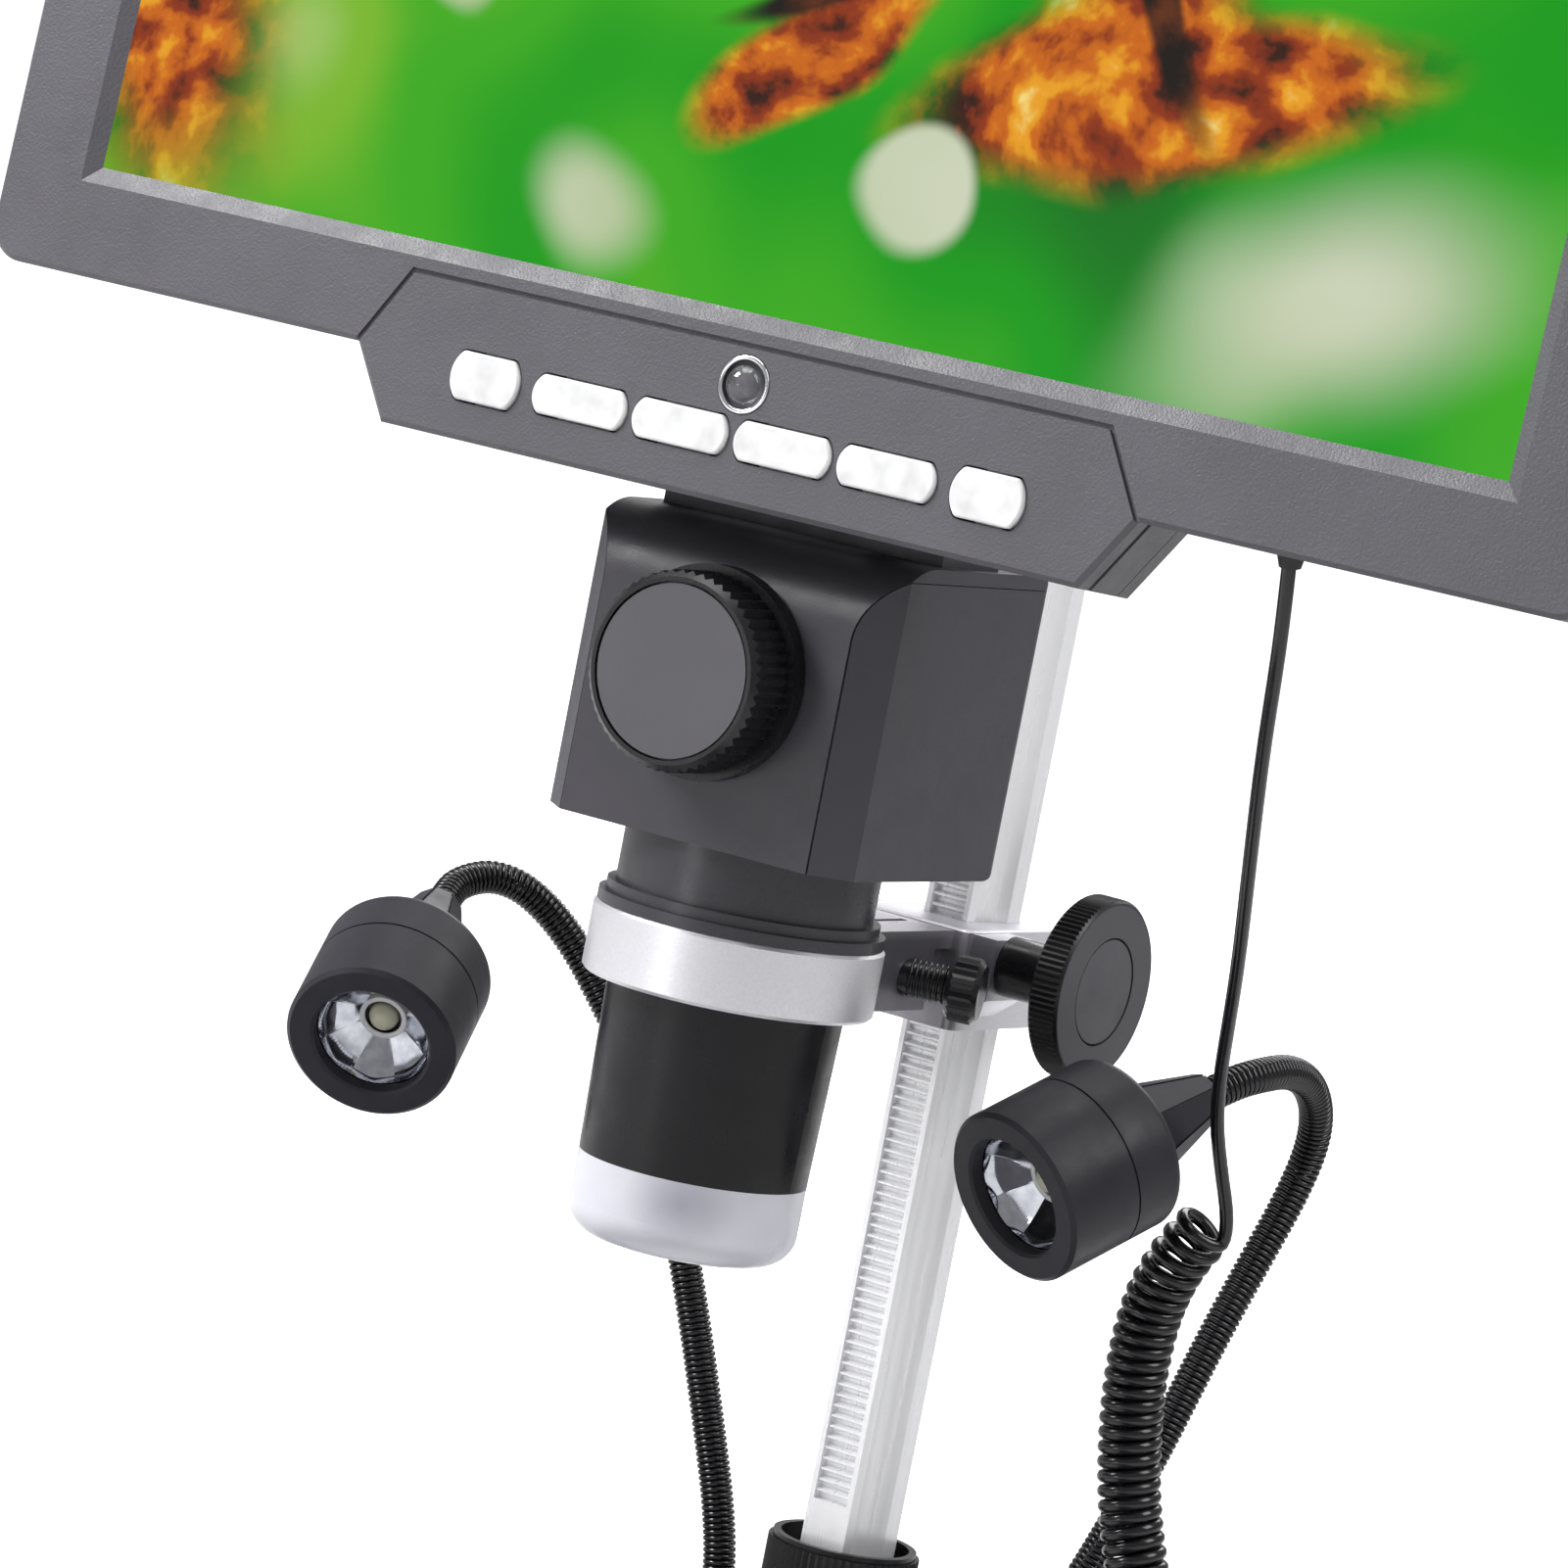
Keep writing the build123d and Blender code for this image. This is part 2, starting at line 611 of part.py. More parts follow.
for name, side in (("height_knob_right", 1), ("height_knob_left", -1)):
    start = height_knob_inner if side > 0 else -height_knob_outer
    place = (start, pinion_y, pinion_z)
    knob = knurled(height_knob_radius, height_ridge_depth, height_knob_ridges, height_knob_thickness, place, "x")
    knob &= bevelled_bar(height_knob_radius, height_knob_thickness, knob_bevel, place, "x")
    face = height_knob_outer - disc_depth if side > 0 else -height_knob_outer
    knob -= round_bar(height_disc_radius + 0.3, disc_depth, (face, pinion_y, pinion_z), "x")
    knob -= round_bar(shaft_radius, 2 * shaft_half, (-shaft_half, pinion_y, pinion_z), "x")
    parts[name] = knob
discs = []
for side in (-1, 1):
    start = height_knob_outer - disc_depth if side > 0 else -height_knob_outer + 0.1
    discs.append(round_bar(height_disc_radius, disc_depth - 0.1, (start, pinion_y, pinion_z), "x"))
parts["height_knob_discs"] = Compound(discs)

thumb_depth = 2 * arm_half_width
thumb = round_bar(thumb_radius, thumb_depth + thumb_reach, (-thumb_depth, 0, 0), "x")
thumb_head = knurled(thumb_knob_radius, 0.35, 22, thumb_knob_thickness, (thumb_reach, 0, 0), "x")
thumb_head &= bevelled_bar(thumb_knob_radius, thumb_knob_thickness, thumb_bevel, (thumb_reach, 0, 0), "x")
thumb += thumb_head
parts["clamp_thumbscrew"] = thumb_place * thumb

# ---------------------------------------------------------------- scope tubes and optics
barrel = cone_bar(barrel_bottom_radius, barrel_top_radius, barrel_length - ring_height, (0, 0, barrel_end))
barrel_neck = 6.0
barrel += round_bar(barrel_top_radius, ring_height, (0, 0, ring_bottom))
barrel += round_bar(tube_bore - running_fit, barrel_neck, (0, 0, ring_top))
barrel -= round_bar(barrel_bore, barrel_length + barrel_neck, (0, 0, barrel_end))
web_low, web_height = barrel_end + 8.0, 4.0
barrel += pipe(barrel_bore, cell_radius + running_fit, web_height, (0, 0, web_low))
parts["barrel_tube"] = barrel

tube_top = housing_floor
upper = round_bar(flange_radius, flange_thickness, (0, 0, ring_top))
upper += round_bar(flange_step_radius, flange_step, (0, 0, ring_top + flange_thickness))
upper += round_bar(tube_radius, tube_length, (0, 0, ring_top))
spigot_length = housing_wall + 2.0
upper += round_bar(tube_bore + spigot_wall, spigot_length, (0, 0, tube_top))
upper -= round_bar(tube_bore, tube_length + spigot_length, (0, 0, ring_top))
parts["upper_tube"] = upper

cap_shell = round_bar(barrel_bottom_radius, cap_height, (0, 0, barrel_end - cap_height))
cap_shell = fillet(cap_shell.edges().sort_by(Axis.Z)[0], cap_edge)
cap_inside = round_bar(barrel_bottom_radius - cap_wall, cap_height, (0, 0, barrel_end - cap_height + cap_wall))
cap_inside = fillet(cap_inside.edges().sort_by(Axis.Z)[0], cap_edge - cap_wall)
cap_lip = 3.0
cap_shell += pipe(barrel_bore - running_fit, barrel_bore - cap_wall, cap_lip + 1.0, (0, 0, barrel_end - 1.0))
cap_shell += pipe(barrel_bottom_radius, barrel_bore - cap_wall, 1.5, (0, 0, barrel_end - 1.5))
cap_shell -= cap_inside & round_bar(barrel_bottom_radius, cap_height - 1.5, (0, 0, barrel_end - cap_height))
cap_shell -= round_bar(barrel_bore - cap_wall, cap_height, (0, 0, barrel_end - cap_height / 2))
cap_shell -= round_bar(cap_hole, cap_wall + 1, (0, 0, barrel_end - cap_height - 0.5))
parts["frosted_cap"] = cap_shell

led_low = barrel_end + cap_lip
led_board = pipe(barrel_bore - running_fit, cell_radius + 1.4, board_thickness, (0, 0, led_low))
led_circle = 9.6
for x, y in ring_points(8, lambda i: led_circle):
    led_board += block(x - 1.4, x + 1.4, y - 1.4, y + 1.4, led_low - 0.7, led_low)
parts["led_ring_board"] = led_board

# the lens cell is a long sliding tube; the bar beside it carries its rack
cell = pipe(cell_radius, cell_bore, cell_length, (0, 0, cell_foot))
rack_back = focus_pitch_radius + 1.25 * gear_module
bar_low, bar_high = focus_z - 6.5, focus_z + 6.5
bar_front, bar_rear = -12.0, -8.4
bar_sketch = rack_outline(bar_low, bar_high, focus_z, 1.25 * gear_module + 2.0)
cell += on_face(Pos(focus_pitch_radius + pinion_backlash, 0) * bar_sketch, bar_front, bar_rear)
strut_side = rack_back + pinion_backlash + 0.3
cell += block(strut_side, strut_side + 1.7, bar_rear - 0.2, 0, bar_low, bar_high)
cell -= round_bar(cell_bore, cell_length, (0, 0, cell_foot))
parts["lens_cell"] = cell

lens_low, lens_gap = cell_foot + 1.0, 8.0
parts["lens_glass"] = Compound([
    round_bar(cell_bore, lens_thickness, (0, 0, lens_low)),
    round_bar(cell_bore, lens_thickness, (0, 0, lens_low + lens_thickness + lens_gap)),
])

# ---------------------------------------------------------------- housing
def housing_profile(inset, back_inset):
    """Side view of the housing as y and z, with the large round at the top of the front."""
    front, back = housing_front + inset, housing_rear - back_inset
    low, high = housing_floor + back_inset, housing_top - inset
    sketch = Pos((front + back) / 2, (low + high) / 2) * Rectangle(back - front, high - low)
    front_top = sketch.vertices().sort_by(Axis.X)[:2].sort_by(Axis.Y)[-1]
    sketch = fillet(front_top, top_round - inset)
    rear_corners = sketch.vertices().sort_by(Axis.X)[-2:]
    return fillet(rear_corners, max(rear_round - back_inset, 0.8))


def housing_side(inset, back_inset, half_width):
    return across(housing_profile(inset, back_inset), -half_width, half_width)


def flared_front(gap):
    """The outline of the front cover: straight below, spreading where the top rounds over."""
    half = housing_half_width - housing_chamfer + gap
    wide = housing_half_width + 5.0
    bend = housing_top - top_round
    low, high = housing_floor - 1.0, housing_top + 1.0
    centre_x = half + top_round
    flare = (top_round ** 2 - (centre_x - wide) ** 2) ** 0.5
    middle_x, middle_rise = centre_x - top_round * cos(radians(35)), top_round * sin(radians(35))
    edges = [
        Line((-half, low), (half, low)), Line((half, low), (half, bend)),
        ThreePointArc((half, bend), (middle_x, bend + middle_rise), (wide, bend + flare)),
        Line((wide, bend + flare), (wide, high)), Line((wide, high), (-wide, high)),
        Line((-wide, high), (-wide, bend + flare)),
        ThreePointArc((-wide, bend + flare), (-middle_x, bend + middle_rise), (-half, bend)),
        Line((-half, bend), (-half, low)),
    ]
    return on_face(make_face(Curve() + edges), housing_front - 1.0, housing_rear + 1.0)


chamfered = Pos(0, (housing_front + housing_rear) / 2, housing_floor) * extrude(
    Rectangle(2 * housing_half_width, housing_rear - housing_front), amount=housing_height)
chamfered = chamfer(chamfered.edges().filter_by(Axis.Z).group_by(Axis.Y)[0], housing_chamfer)
chamfered = fillet(chamfered.edges().filter_by(Axis.Z).group_by(Axis.Y)[-1], 2.5)
housing_outer = chamfered & housing_side(0, 0, housing_half_width)
housing_core = housing_side(housing_wall, -1.0, housing_half_width + 2.0)
cover_layer = housing_outer - housing_core
front_cover = cover_layer & flared_front(0.0)
front_cover -= round_bar(shaft_radius + running_fit, 3 * housing_wall, (0, housing_front - housing_wall, focus_z), "y")
# the sensor board hangs from two posts of the front cover's top
sensor_z = cell_head + sensor_clearance + sensor_chip
post_foot = sensor_z + board_thickness
for side in (-1, 1):
    post_x = side * (sensor_size / 2 - post_inset)
    front_cover += round_bar(post_radius, housing_top - housing_wall - post_foot, (post_x, sensor_post_y, post_foot))
parts["housing_front_cover"] = front_cover

shell_cut = (housing_outer - housing_side(housing_wall + seam, -1.0, housing_half_width + 3.0)) & flared_front(seam)
housing_shell = housing_outer - shell_cut
inner_half = housing_half_width - housing_wall
shell_inside = block(-inner_half, inner_half, housing_front - 1, housing_rear - housing_wall,
                     housing_floor + housing_wall, housing_top + 1)
shell_inside = chamfer(shell_inside.edges().filter_by(Axis.Z).group_by(Axis.Y)[0], housing_chamfer)
housing_shell -= shell_inside
housing_shell -= round_bar(tube_bore + spigot_wall + running_fit, 2 * housing_wall, (0, 0, housing_floor - 0.5))
parts["housing_shell"] = housing_shell.solids().sort_by(SortBy.VOLUME)[-1]

half_sensor = sensor_size / 2
sensor = block(-half_sensor, half_sensor, -half_sensor + 2, half_sensor + 2, sensor_z, sensor_z + board_thickness)
sensor += block(-4.5, 4.5, -3.5, 3.5, sensor_z - sensor_chip, sensor_z)
parts["sensor_board"] = sensor

# ---------------------------------------------------------------- focus drive
knob_rear = housing_front - 0.3
knob_face = housing_front - focus_reach
focus_knob = round_bar(focus_skirt_radius, focus_skirt, (0, knob_rear - focus_skirt, focus_z), "y")
grip_length = knob_rear - focus_skirt - knob_face
grip = knurled(focus_knob_radius, focus_ridge_depth, focus_ridges, grip_length, (0, knob_face, focus_z), "y")
grip &= bevelled_bar(focus_knob_radius, grip_length + 2 * knob_bevel, 2 * knob_bevel, (0, knob_face, focus_z), "y")
focus_knob += grip
focus_knob -= round_bar(focus_disc_radius + 0.3, disc_depth, (0, knob_face, focus_z), "y")
shaft_front = knob_face + disc_depth + 1.0
focus_knob -= round_bar(shaft_radius, 20, (0, shaft_front, focus_z), "y")
parts["focus_knob"] = focus_knob
parts["focus_knob_disc"] = round_bar(focus_disc_radius, disc_depth - 0.15, (0, knob_face + 0.15, focus_z), "y")

focus_gear_length = 3.0
focus_shaft = round_bar(shaft_radius, bar_rear - shaft_front, (0, shaft_front, focus_z), "y")
focus_gear = TURNS["y"] * gear(focus_teeth, focus_gear_length)
focus_shaft += Pos(0, bar_front + 0.3, focus_z) * focus_gear
parts["focus_shaft"] = focus_shaft

# ---------------------------------------------------------------- hinge
bracket_half = knuckle_radius + 1.0
bracket = block(-knuckle_half_outer, knuckle_half_outer, pivot_y - bracket_half, pivot_y + bracket_half,
                housing_top, housing_top + bracket_plate)
knuckle = round_bar(knuckle_radius, 2 * knuckle_half_inner, (-knuckle_half_inner, pivot_y, pivot_z), "x")
knuckle += block(-knuckle_half_inner, knuckle_half_inner, pivot_y - knuckle_radius, pivot_y + knuckle_radius,
                 housing_top, pivot_z)
bracket += knuckle
pin_half = knuckle_half_outer - 1.0
bracket -= round_bar(pin_radius + running_fit, 2 * pin_half, (-pin_half, pivot_y, pivot_z), "x")
parts["hinge_bracket"] = bracket
parts["hinge_pin"] = round_bar(pin_radius, 2 * pin_half - 1.0, (-pin_half + 0.5, pivot_y, pivot_z), "x")

# ---------------------------------------------------------------- screen unit
screen_place = Pos(0, lcd_y, lcd_z) * Rot(-screen_tilt, 0, 0)
screen = {}


def unit_outline():
    """Frame of the screen with the tongue of the key panel below it."""
    frame = Pos(0, unit_middle) * RectangleRounded(2 * unit_half_width, unit_height, bezel_corner)
    tongue = Polygon((-panel_half_middle, -bezel_bottom), (-panel_half_bottom, panel_bottom),
                     (panel_half_bottom, panel_bottom), (panel_half_middle, -bezel_bottom),
                     (panel_half_middle, 0), (-panel_half_middle, 0), align=None)
    return frame + tongue


def panel_outline():
    """The hexagon of the key panel."""
    return Polygon((-panel_half_top, panel_top), (panel_half_top, panel_top), (panel_half_middle, -bezel_bottom),
                   (panel_half_bottom, panel_bottom), (-panel_half_bottom, panel_bottom),
                   (-panel_half_middle, -bezel_bottom), align=None)


def key_outline(width, height, bulge, grow=0.0):
    """A key with straight top and bottom edges and bowed ends."""
    half_w, half_h = width / 2 + grow, height / 2 + grow
    edges = [
        Line((-half_w, half_h), (half_w, half_h)),
        ThreePointArc((half_w, half_h), (half_w + bulge, 0), (half_w, -half_h)),
        Line((half_w, -half_h), (-half_w, -half_h)),
        ThreePointArc((-half_w, -half_h), (-half_w - bulge, 0), (-half_w, half_h)),
    ]
    face = make_face(Curve() + edges)
    return fillet(face.vertices(), 0.9 + grow)


key_names = ["power", "menu", "up", "down", "ok", "capture"]
key_sizes = {}
for number, name in enumerate(key_names):
    if number in (0, 5):
        size = (outer_key_width, outer_key_height, outer_key_bulge)
        place = outer_key_x if number else -outer_key_x
    else:
        size = (inner_key_width, inner_key_height, inner_key_bulge)
        place = (number - 2.5) * key_pitch
    key_sizes[name] = (place, size)

outline = unit_outline()
glass_middle = lcd_height / 2
window_front = Pos(0, glass_middle) * Rectangle(lcd_width + 2 * window_slope, lcd_height + 2 * window_slope)
window_back = Pos(0, glass_middle) * Rectangle(lcd_width, lcd_height)
face_plane = Plane(origin=(0, -glass_recess, 0), x_dir=(1, 0, 0), z_dir=(0, -1, 0))
glass_plane = Plane(origin=(0, 0, 0), x_dir=(1, 0, 0), z_dir=(0, -1, 0))
window_cut = loft([face_plane * window_front, glass_plane * window_back])
lcd_outline = Pos(0, glass_middle) * Rectangle(lcd_width + 2 * lcd_border, lcd_height + 2 * lcd_border)
lcd_pocket = Pos(0, glass_middle) * Rectangle(lcd_width + 2 * lcd_border + 2 * sliding_fit,
                                              lcd_height + 2 * lcd_border + 2 * sliding_fit)

bezel = on_face(outline, -glass_recess, rim_depth)
bezel = chamfer(bezel.edges().group_by(Axis.Y)[0], 0.7)
bezel -= window_cut
bezel -= on_face(lcd_pocket, 0, rim_depth)
groove_ring = offset(panel_outline(), panel_groove / 2, kind=Kind.INTERSECTION) - offset(
    panel_outline(), -panel_groove / 2, kind=Kind.INTERSECTION)
groove_top = Pos(0, -bezel_bottom / 2) * Rectangle(3 * panel_half_middle, bezel_bottom)
bezel -= on_face(groove_ring & groove_top, -glass_recess - 1, -glass_recess + 0.5)
panel_wall = 2.0
panel_inside = offset(panel_outline(), -shell_wall, kind=Kind.INTERSECTION) & (
    Pos(0, panel_bottom / 2 - lcd_border) * Rectangle(3 * panel_half_middle, -panel_bottom))
bezel -= on_face(panel_inside, panel_wall - glass_recess, rim_depth)
for place, size in key_sizes.values():
    hole = Pos(place, key_row) * key_outline(*size, grow=key_gap)
    bezel -= on_face(hole, -glass_recess - 1, rim_depth)
bezel -= round_bar(window_radius + running_fit, 6, (0, -glass_recess - 1, window_row), "y")
bezel -= round_bar(window_radius + window_flange + running_fit, 6, (0, panel_wall - glass_recess, window_row), "y")
screen["front_bezel"] = bezel

screen["lcd_panel"] = on_face(lcd_outline, 0, lcd_thickness)

ir_window = round_bar(window_radius, panel_wall - 0.7, (0, -glass_recess + 0.7, window_row), "y")
dome = Pos(0, 1.9, window_row) * Sphere(3.0)
ir_window += dome & round_bar(2.8, 3.0, (0, -glass_recess + 0.1, window_row), "y")
ir_window += round_bar(window_radius + window_flange, 0.8, (0, panel_wall - glass_recess, window_row), "y")
screen["ir_window"] = ir_window

groove_outline = offset(outline, -rim_groove)
mid = on_face(groove_outline, rim_depth, rim_depth + rim_groove) + on_face(outline, rim_depth + rim_groove, mid_depth)
mid_hollow = offset(outline, -shell_wall - rim_groove, kind=Kind.INTERSECTION)
web_front = lcd_thickness + 0.3
web_back = web_front + web_thickness
mid -= on_face(mid_hollow, web_back, mid_depth)
mid -= on_face(lcd_pocket, rim_depth, web_front)
mid -= on_face(panel_inside, rim_depth, key_board_depth)
boot_place = Pos(boot_x, boot_depth, -bezel_bottom) * Rot(boot_tilt, 0, 0)
boot_root = boot_radius - 0.5
mid -= boot_place * Pos(0, 0, -1) * Cylinder(boot_root + running_fit, 3 * shell_wall, align=UP)
screen["mid_frame"] = mid

rear_front = mid_depth + seam
rear = on_face(outline, rear_front, unit_depth)
rear = chamfer(rear.edges().group_by(Axis.Y)[-1], rear_bevel)
rear_hollow = offset(outline, -shell_wall - 0.3, kind=Kind.INTERSECTION)
rear -= on_face(rear_hollow, rear_front, unit_depth - shell_wall)
knuckle_width = knuckle_half_outer - knuckle_half_inner - 0.2
for side in (-1, 1):
    start = knuckle_half_inner + 0.2 if side > 0 else -knuckle_half_outer
    lug = round_bar(knuckle_radius, knuckle_width, (start, pivot_depth, pivot_height), "x")
    lug += block(start, start + knuckle_width, unit_depth - shell_wall, pivot_depth,
                 pivot_height - knuckle_radius, pivot_height + knuckle_radius)
    rear += lug
rear -= round_bar(pin_radius + running_fit, 2 * pin_half, (-pin_half, pivot_depth, pivot_height), "x")
vent_width, vent_height, vent_pitch = 26.0, 1.6, 4.0
for row in range(6):
    for side in (-1, 1):
        slot = Pos(side * 45, 60 + row * vent_pitch) * SlotOverall(vent_width, vent_height)
        rear -= on_face(slot, unit_depth - shell_wall - 1, unit_depth + 1)
rear_screw_places = [(sx * (unit_half_width - 12), z) for sx in (-1, 1) for z in (-2.0, lcd_height + 2.0)]
rear_screw_head = 2.6
for x, z in rear_screw_places:
    rear += round_bar(rear_screw_head + 1.6, unit_depth - shell_wall - rear_front, (x, rear_front, z), "y")
    rear -= round_bar(rear_screw_head + running_fit, 1.4, (x, unit_depth - 1.4, z), "y")
    rear -= round_bar(base_screw_radius, unit_depth, (x, rear_front, z), "y")
screen["rear_cover"] = rear

screen["display_screws"] = Compound([
    round_bar(rear_screw_head, 1.2, (x, unit_depth - 1.4, z), "y")
    + round_bar(base_screw_radius - running_fit, unit_depth - 1.4 - rear_front, (x, rear_front, z), "y")
    for x, z in rear_screw_places
])

standoff = 1.2
board_front = web_back + standoff
board_back_face = board_front + board_thickness
main_width, main_height = 100.0, 70.0
main_x, main_z = -45.0, 65.0
main_board = block(main_x - main_width / 2, main_x + main_width / 2, board_front, board_back_face,
                   main_z - main_height / 2, main_z + main_height / 2)
standoff_radius, standoff_inset = 2.2, 5.0
for side in (-1, 1):
    for end in (-1, 1):
        x = main_x + side * (main_width / 2 - standoff_inset)
        z = main_z + end * (main_height / 2 - standoff_inset)
        main_board += round_bar(standoff_radius, standoff, (x, web_back, z), "y")


def board_chip(size, x, z, tall):
    """A square chip on the back of the main board, placed from the board's middle."""
    half = size / 2
    return block(main_x + x - half, main_x + x + half, board_back_face, board_back_face + tall,
                 main_z + z - half, main_z + z + half)


main_board += board_chip(16, -17, -2, 1.6)
main_board += board_chip(11, 11, -10, 1.2)
main_board += board_chip(12, -33, 25, 2.4)
main_board += board_chip(12, 36, 12, 1.8)
screen["main_board"] = main_board

battery_width, battery_height, battery_thickness = 70.0, 60.0, 6.0
battery_x, battery_z = 57.0, 62.0
cell_pack = block(battery_x - battery_width / 2, battery_x + battery_width / 2, web_back, web_back + battery_thickness,
                  battery_z - battery_height / 2, battery_z + battery_height / 2)
screen["battery"] = fillet(cell_pack.edges().filter_by(Axis.Y), 3.0)

board_inset = 0.6
key_board_shape = offset(panel_inside, -board_inset, kind=Kind.INTERSECTION)
key_board_front = key_board_depth - board_thickness
key_board = on_face(key_board_shape, key_board_front, key_board_depth)
for name, (place, size) in key_sizes.items():
    key_board += round_bar(1.8, 0.5, (place, key_board_front - 0.5, key_row), "y")
screen["keypad_board"] = key_board

key_front = -glass_recess - key_proud
key_rear = key_board_front - 0.5 - key_travel - 0.1
for name, (place, size) in key_sizes.items():
    shape = Pos(place, key_row) * key_outline(*size)
    key = on_face(shape, key_front, key_rear)
    key = fillet(key.edges().group_by(Axis.Y)[0], 0.45)
    rim = Pos(place, key_row) * Rectangle(size[0] - 4.0, size[1] + 2 * key_flange)
    key += on_face(rim, panel_wall - glass_recess + running_fit, panel_wall - glass_recess + 0.6)
    screen[name + "_button"] = key

boot = boot_place * Pos(0, 0, -boot_length) * Cone(cord_radius + 0.4, boot_radius, boot_length + 1.0, align=UP)
boot -= block(boot_x - 5, boot_x + 5, 0, mid_depth, -bezel_bottom, -bezel_bottom + 5)
boot += boot_place * Pos(0, 0, -0.5) * Cylinder(boot_root, shell_wall, align=UP)
screen["cord_boot"] = boot

for name, shape in screen.items():
    parts[name] = screen_place * shape

# ---------------------------------------------------------------- lamps
def ferrule():
    """An eight sided taper from the back of the head to the neck, grooved along its corners."""
    low, high = lamp_length, lamp_length + ferrule_length
    wide = Plane(origin=(0, 0, low)) * RegularPolygon(ferrule_radius, ferrule_facets)
    narrow = Plane(origin=(0, 0, high)) * RegularPolygon(ferrule_tip_radius, ferrule_facets)
    taper = loft([wide, narrow])
    inner_low, inner_high = ferrule_radius - ferrule_groove, ferrule_tip_radius - ferrule_groove
    corners = [(inner_low, low), (inner_high, high), (inner_high + 2, high), (inner_low + 2, low)]
    blade = on_face(Polygon(*corners, align=None), -ferrule_groove / 2, ferrule_groove / 2)
    for number in range(ferrule_facets):
        taper -= Rot(0, 0, 360 / ferrule_facets * number) * blade
    return taper


for side, face in lamp_faces.items():
    back = Vector(*lamp_backs[side]).normalized()
    place = Plane(origin=face, z_dir=back).location
    head = round_bar(lamp_radius, lamp_length)
    head = chamfer(head.edges().sort_by(Axis.Z)[0], 0.6)
    head = fillet(head.edges().sort_by(Axis.Z)[-1], 1.6)
    head -= pipe(lamp_radius + 1.0, lamp_radius - lamp_seam_depth, lamp_seam_width, (0, 0, lamp_seam))
    head += ferrule()
    head -= cone_bar(lamp_mouth + lamp_mouth_bevel, lamp_mouth, lamp_mouth_bevel)
    head -= round_bar(lamp_mouth, lamp_front_wall)
    hollow_length = lamp_length - lamp_front_wall - lamp_back_wall
    head -= round_bar(lamp_radius - lamp_wall, hollow_length, (0, 0, lamp_front_wall))
    grip_start = lamp_length + ferrule_length - neck_grip
    head -= round_bar(neck_radius + running_fit, neck_grip, (0, 0, grip_start))
    head -= round_bar(neck_radius / 2, ferrule_length, (0, 0, lamp_length - lamp_back_wall))
    inside = lamp_radius - lamp_wall - running_fit
    lens = round_bar(inside, lens_rim, (0, 0, lamp_front_wall))
    lens += cone_bar(lamp_mouth - 0.3, 4.5, lens_depth, (0, 0, lamp_front_wall))
    board_low = lamp_front_wall + lens_depth + lamp_led_height + 0.2
    board = round_bar(inside, board_thickness, (0, 0, board_low))
    board += round_bar(2.6, lamp_led_height, (0, 0, board_low - lamp_led_height))
    parts["lamp_head_" + side] = place * head
    parts["lamp_lens_" + side] = place * lens
    parts["lamp_led_" + side] = place * board

    root_x = neck_root_x if side == "right" else -neck_root_x
    tip = Vector(*face) + back * (lamp_length + ferrule_length)
    bend = back * neck_start
    knee = (root_x, neck_root_y, base_top + socket_height + 1.8)
    foot = (root_x, neck_root_y, base_top + socket_seat)
    points = [tuple(tip - back * neck_grip), tuple(tip + bend)] + neck_points[side] + [knee, foot]
    parts["gooseneck_" + side] = swept_tube(points, neck_radius, "gooseneck_" + side)

# ---------------------------------------------------------------- the cord with its coil
lead_start = screen_place * boot_place * Pos(0, 0, -boot_length)
lead_bend = lead_start * Pos(0, 0, -4.5)
lead_route = [tuple(lead_start.position), tuple(lead_bend.position)] + lead_points
parts["cord_lead"] = swept_tube(lead_route, cord_radius, "cord_lead")
parts["cord_coil"] = swept_tube(coil_points, coil_radius, "cord_coil")
gland_seat = base_top + gland_height - gland_depth
tail_length = coil_points[-1][2] - gland_seat
parts["cord_tail"] = round_bar(cord_radius, tail_length, (*gland_place, gland_seat))

# ---------------------------------------------------------------- one STEP file for each piece
os.makedirs("parts", exist_ok=True)
for name, shape in parts.items():
    export_step(shape, "parts/" + name + ".step")
print(len(parts), "nodes")
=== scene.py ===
import bpy
import math
from mathutils import Matrix, Vector


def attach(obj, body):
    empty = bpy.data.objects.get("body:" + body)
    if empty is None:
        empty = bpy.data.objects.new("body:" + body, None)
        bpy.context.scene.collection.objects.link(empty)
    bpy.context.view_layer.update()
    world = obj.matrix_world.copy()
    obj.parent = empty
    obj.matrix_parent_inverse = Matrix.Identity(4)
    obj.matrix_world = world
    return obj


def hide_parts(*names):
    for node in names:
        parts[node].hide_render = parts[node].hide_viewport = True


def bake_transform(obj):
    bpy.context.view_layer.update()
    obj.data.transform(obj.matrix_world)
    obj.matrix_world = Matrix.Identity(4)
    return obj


# Lengths are in metres.
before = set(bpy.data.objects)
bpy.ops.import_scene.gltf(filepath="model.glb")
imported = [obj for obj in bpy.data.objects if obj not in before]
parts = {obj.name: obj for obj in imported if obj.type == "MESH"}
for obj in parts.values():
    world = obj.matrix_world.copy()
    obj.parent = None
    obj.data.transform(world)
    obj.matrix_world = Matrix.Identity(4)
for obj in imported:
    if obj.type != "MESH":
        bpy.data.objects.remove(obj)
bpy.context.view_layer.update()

# ------------------------------------------------------------ camera
turn, height, lean = math.radians(30.986), math.radians(6.185), math.radians(10.988)
focal_pixels, picture_pixels, sensor_width = 7490, 1601, 36
camera_place = (0.5108, -0.8462, 0.2688)
sideways = Vector((math.cos(turn), math.sin(turn), 0))
inward = -Vector((
    math.sin(turn) * math.cos(height),
    -math.cos(turn) * math.cos(height),
    math.sin(height),
))
upward = sideways.cross(inward)
camera_data = bpy.data.cameras.new("camera")
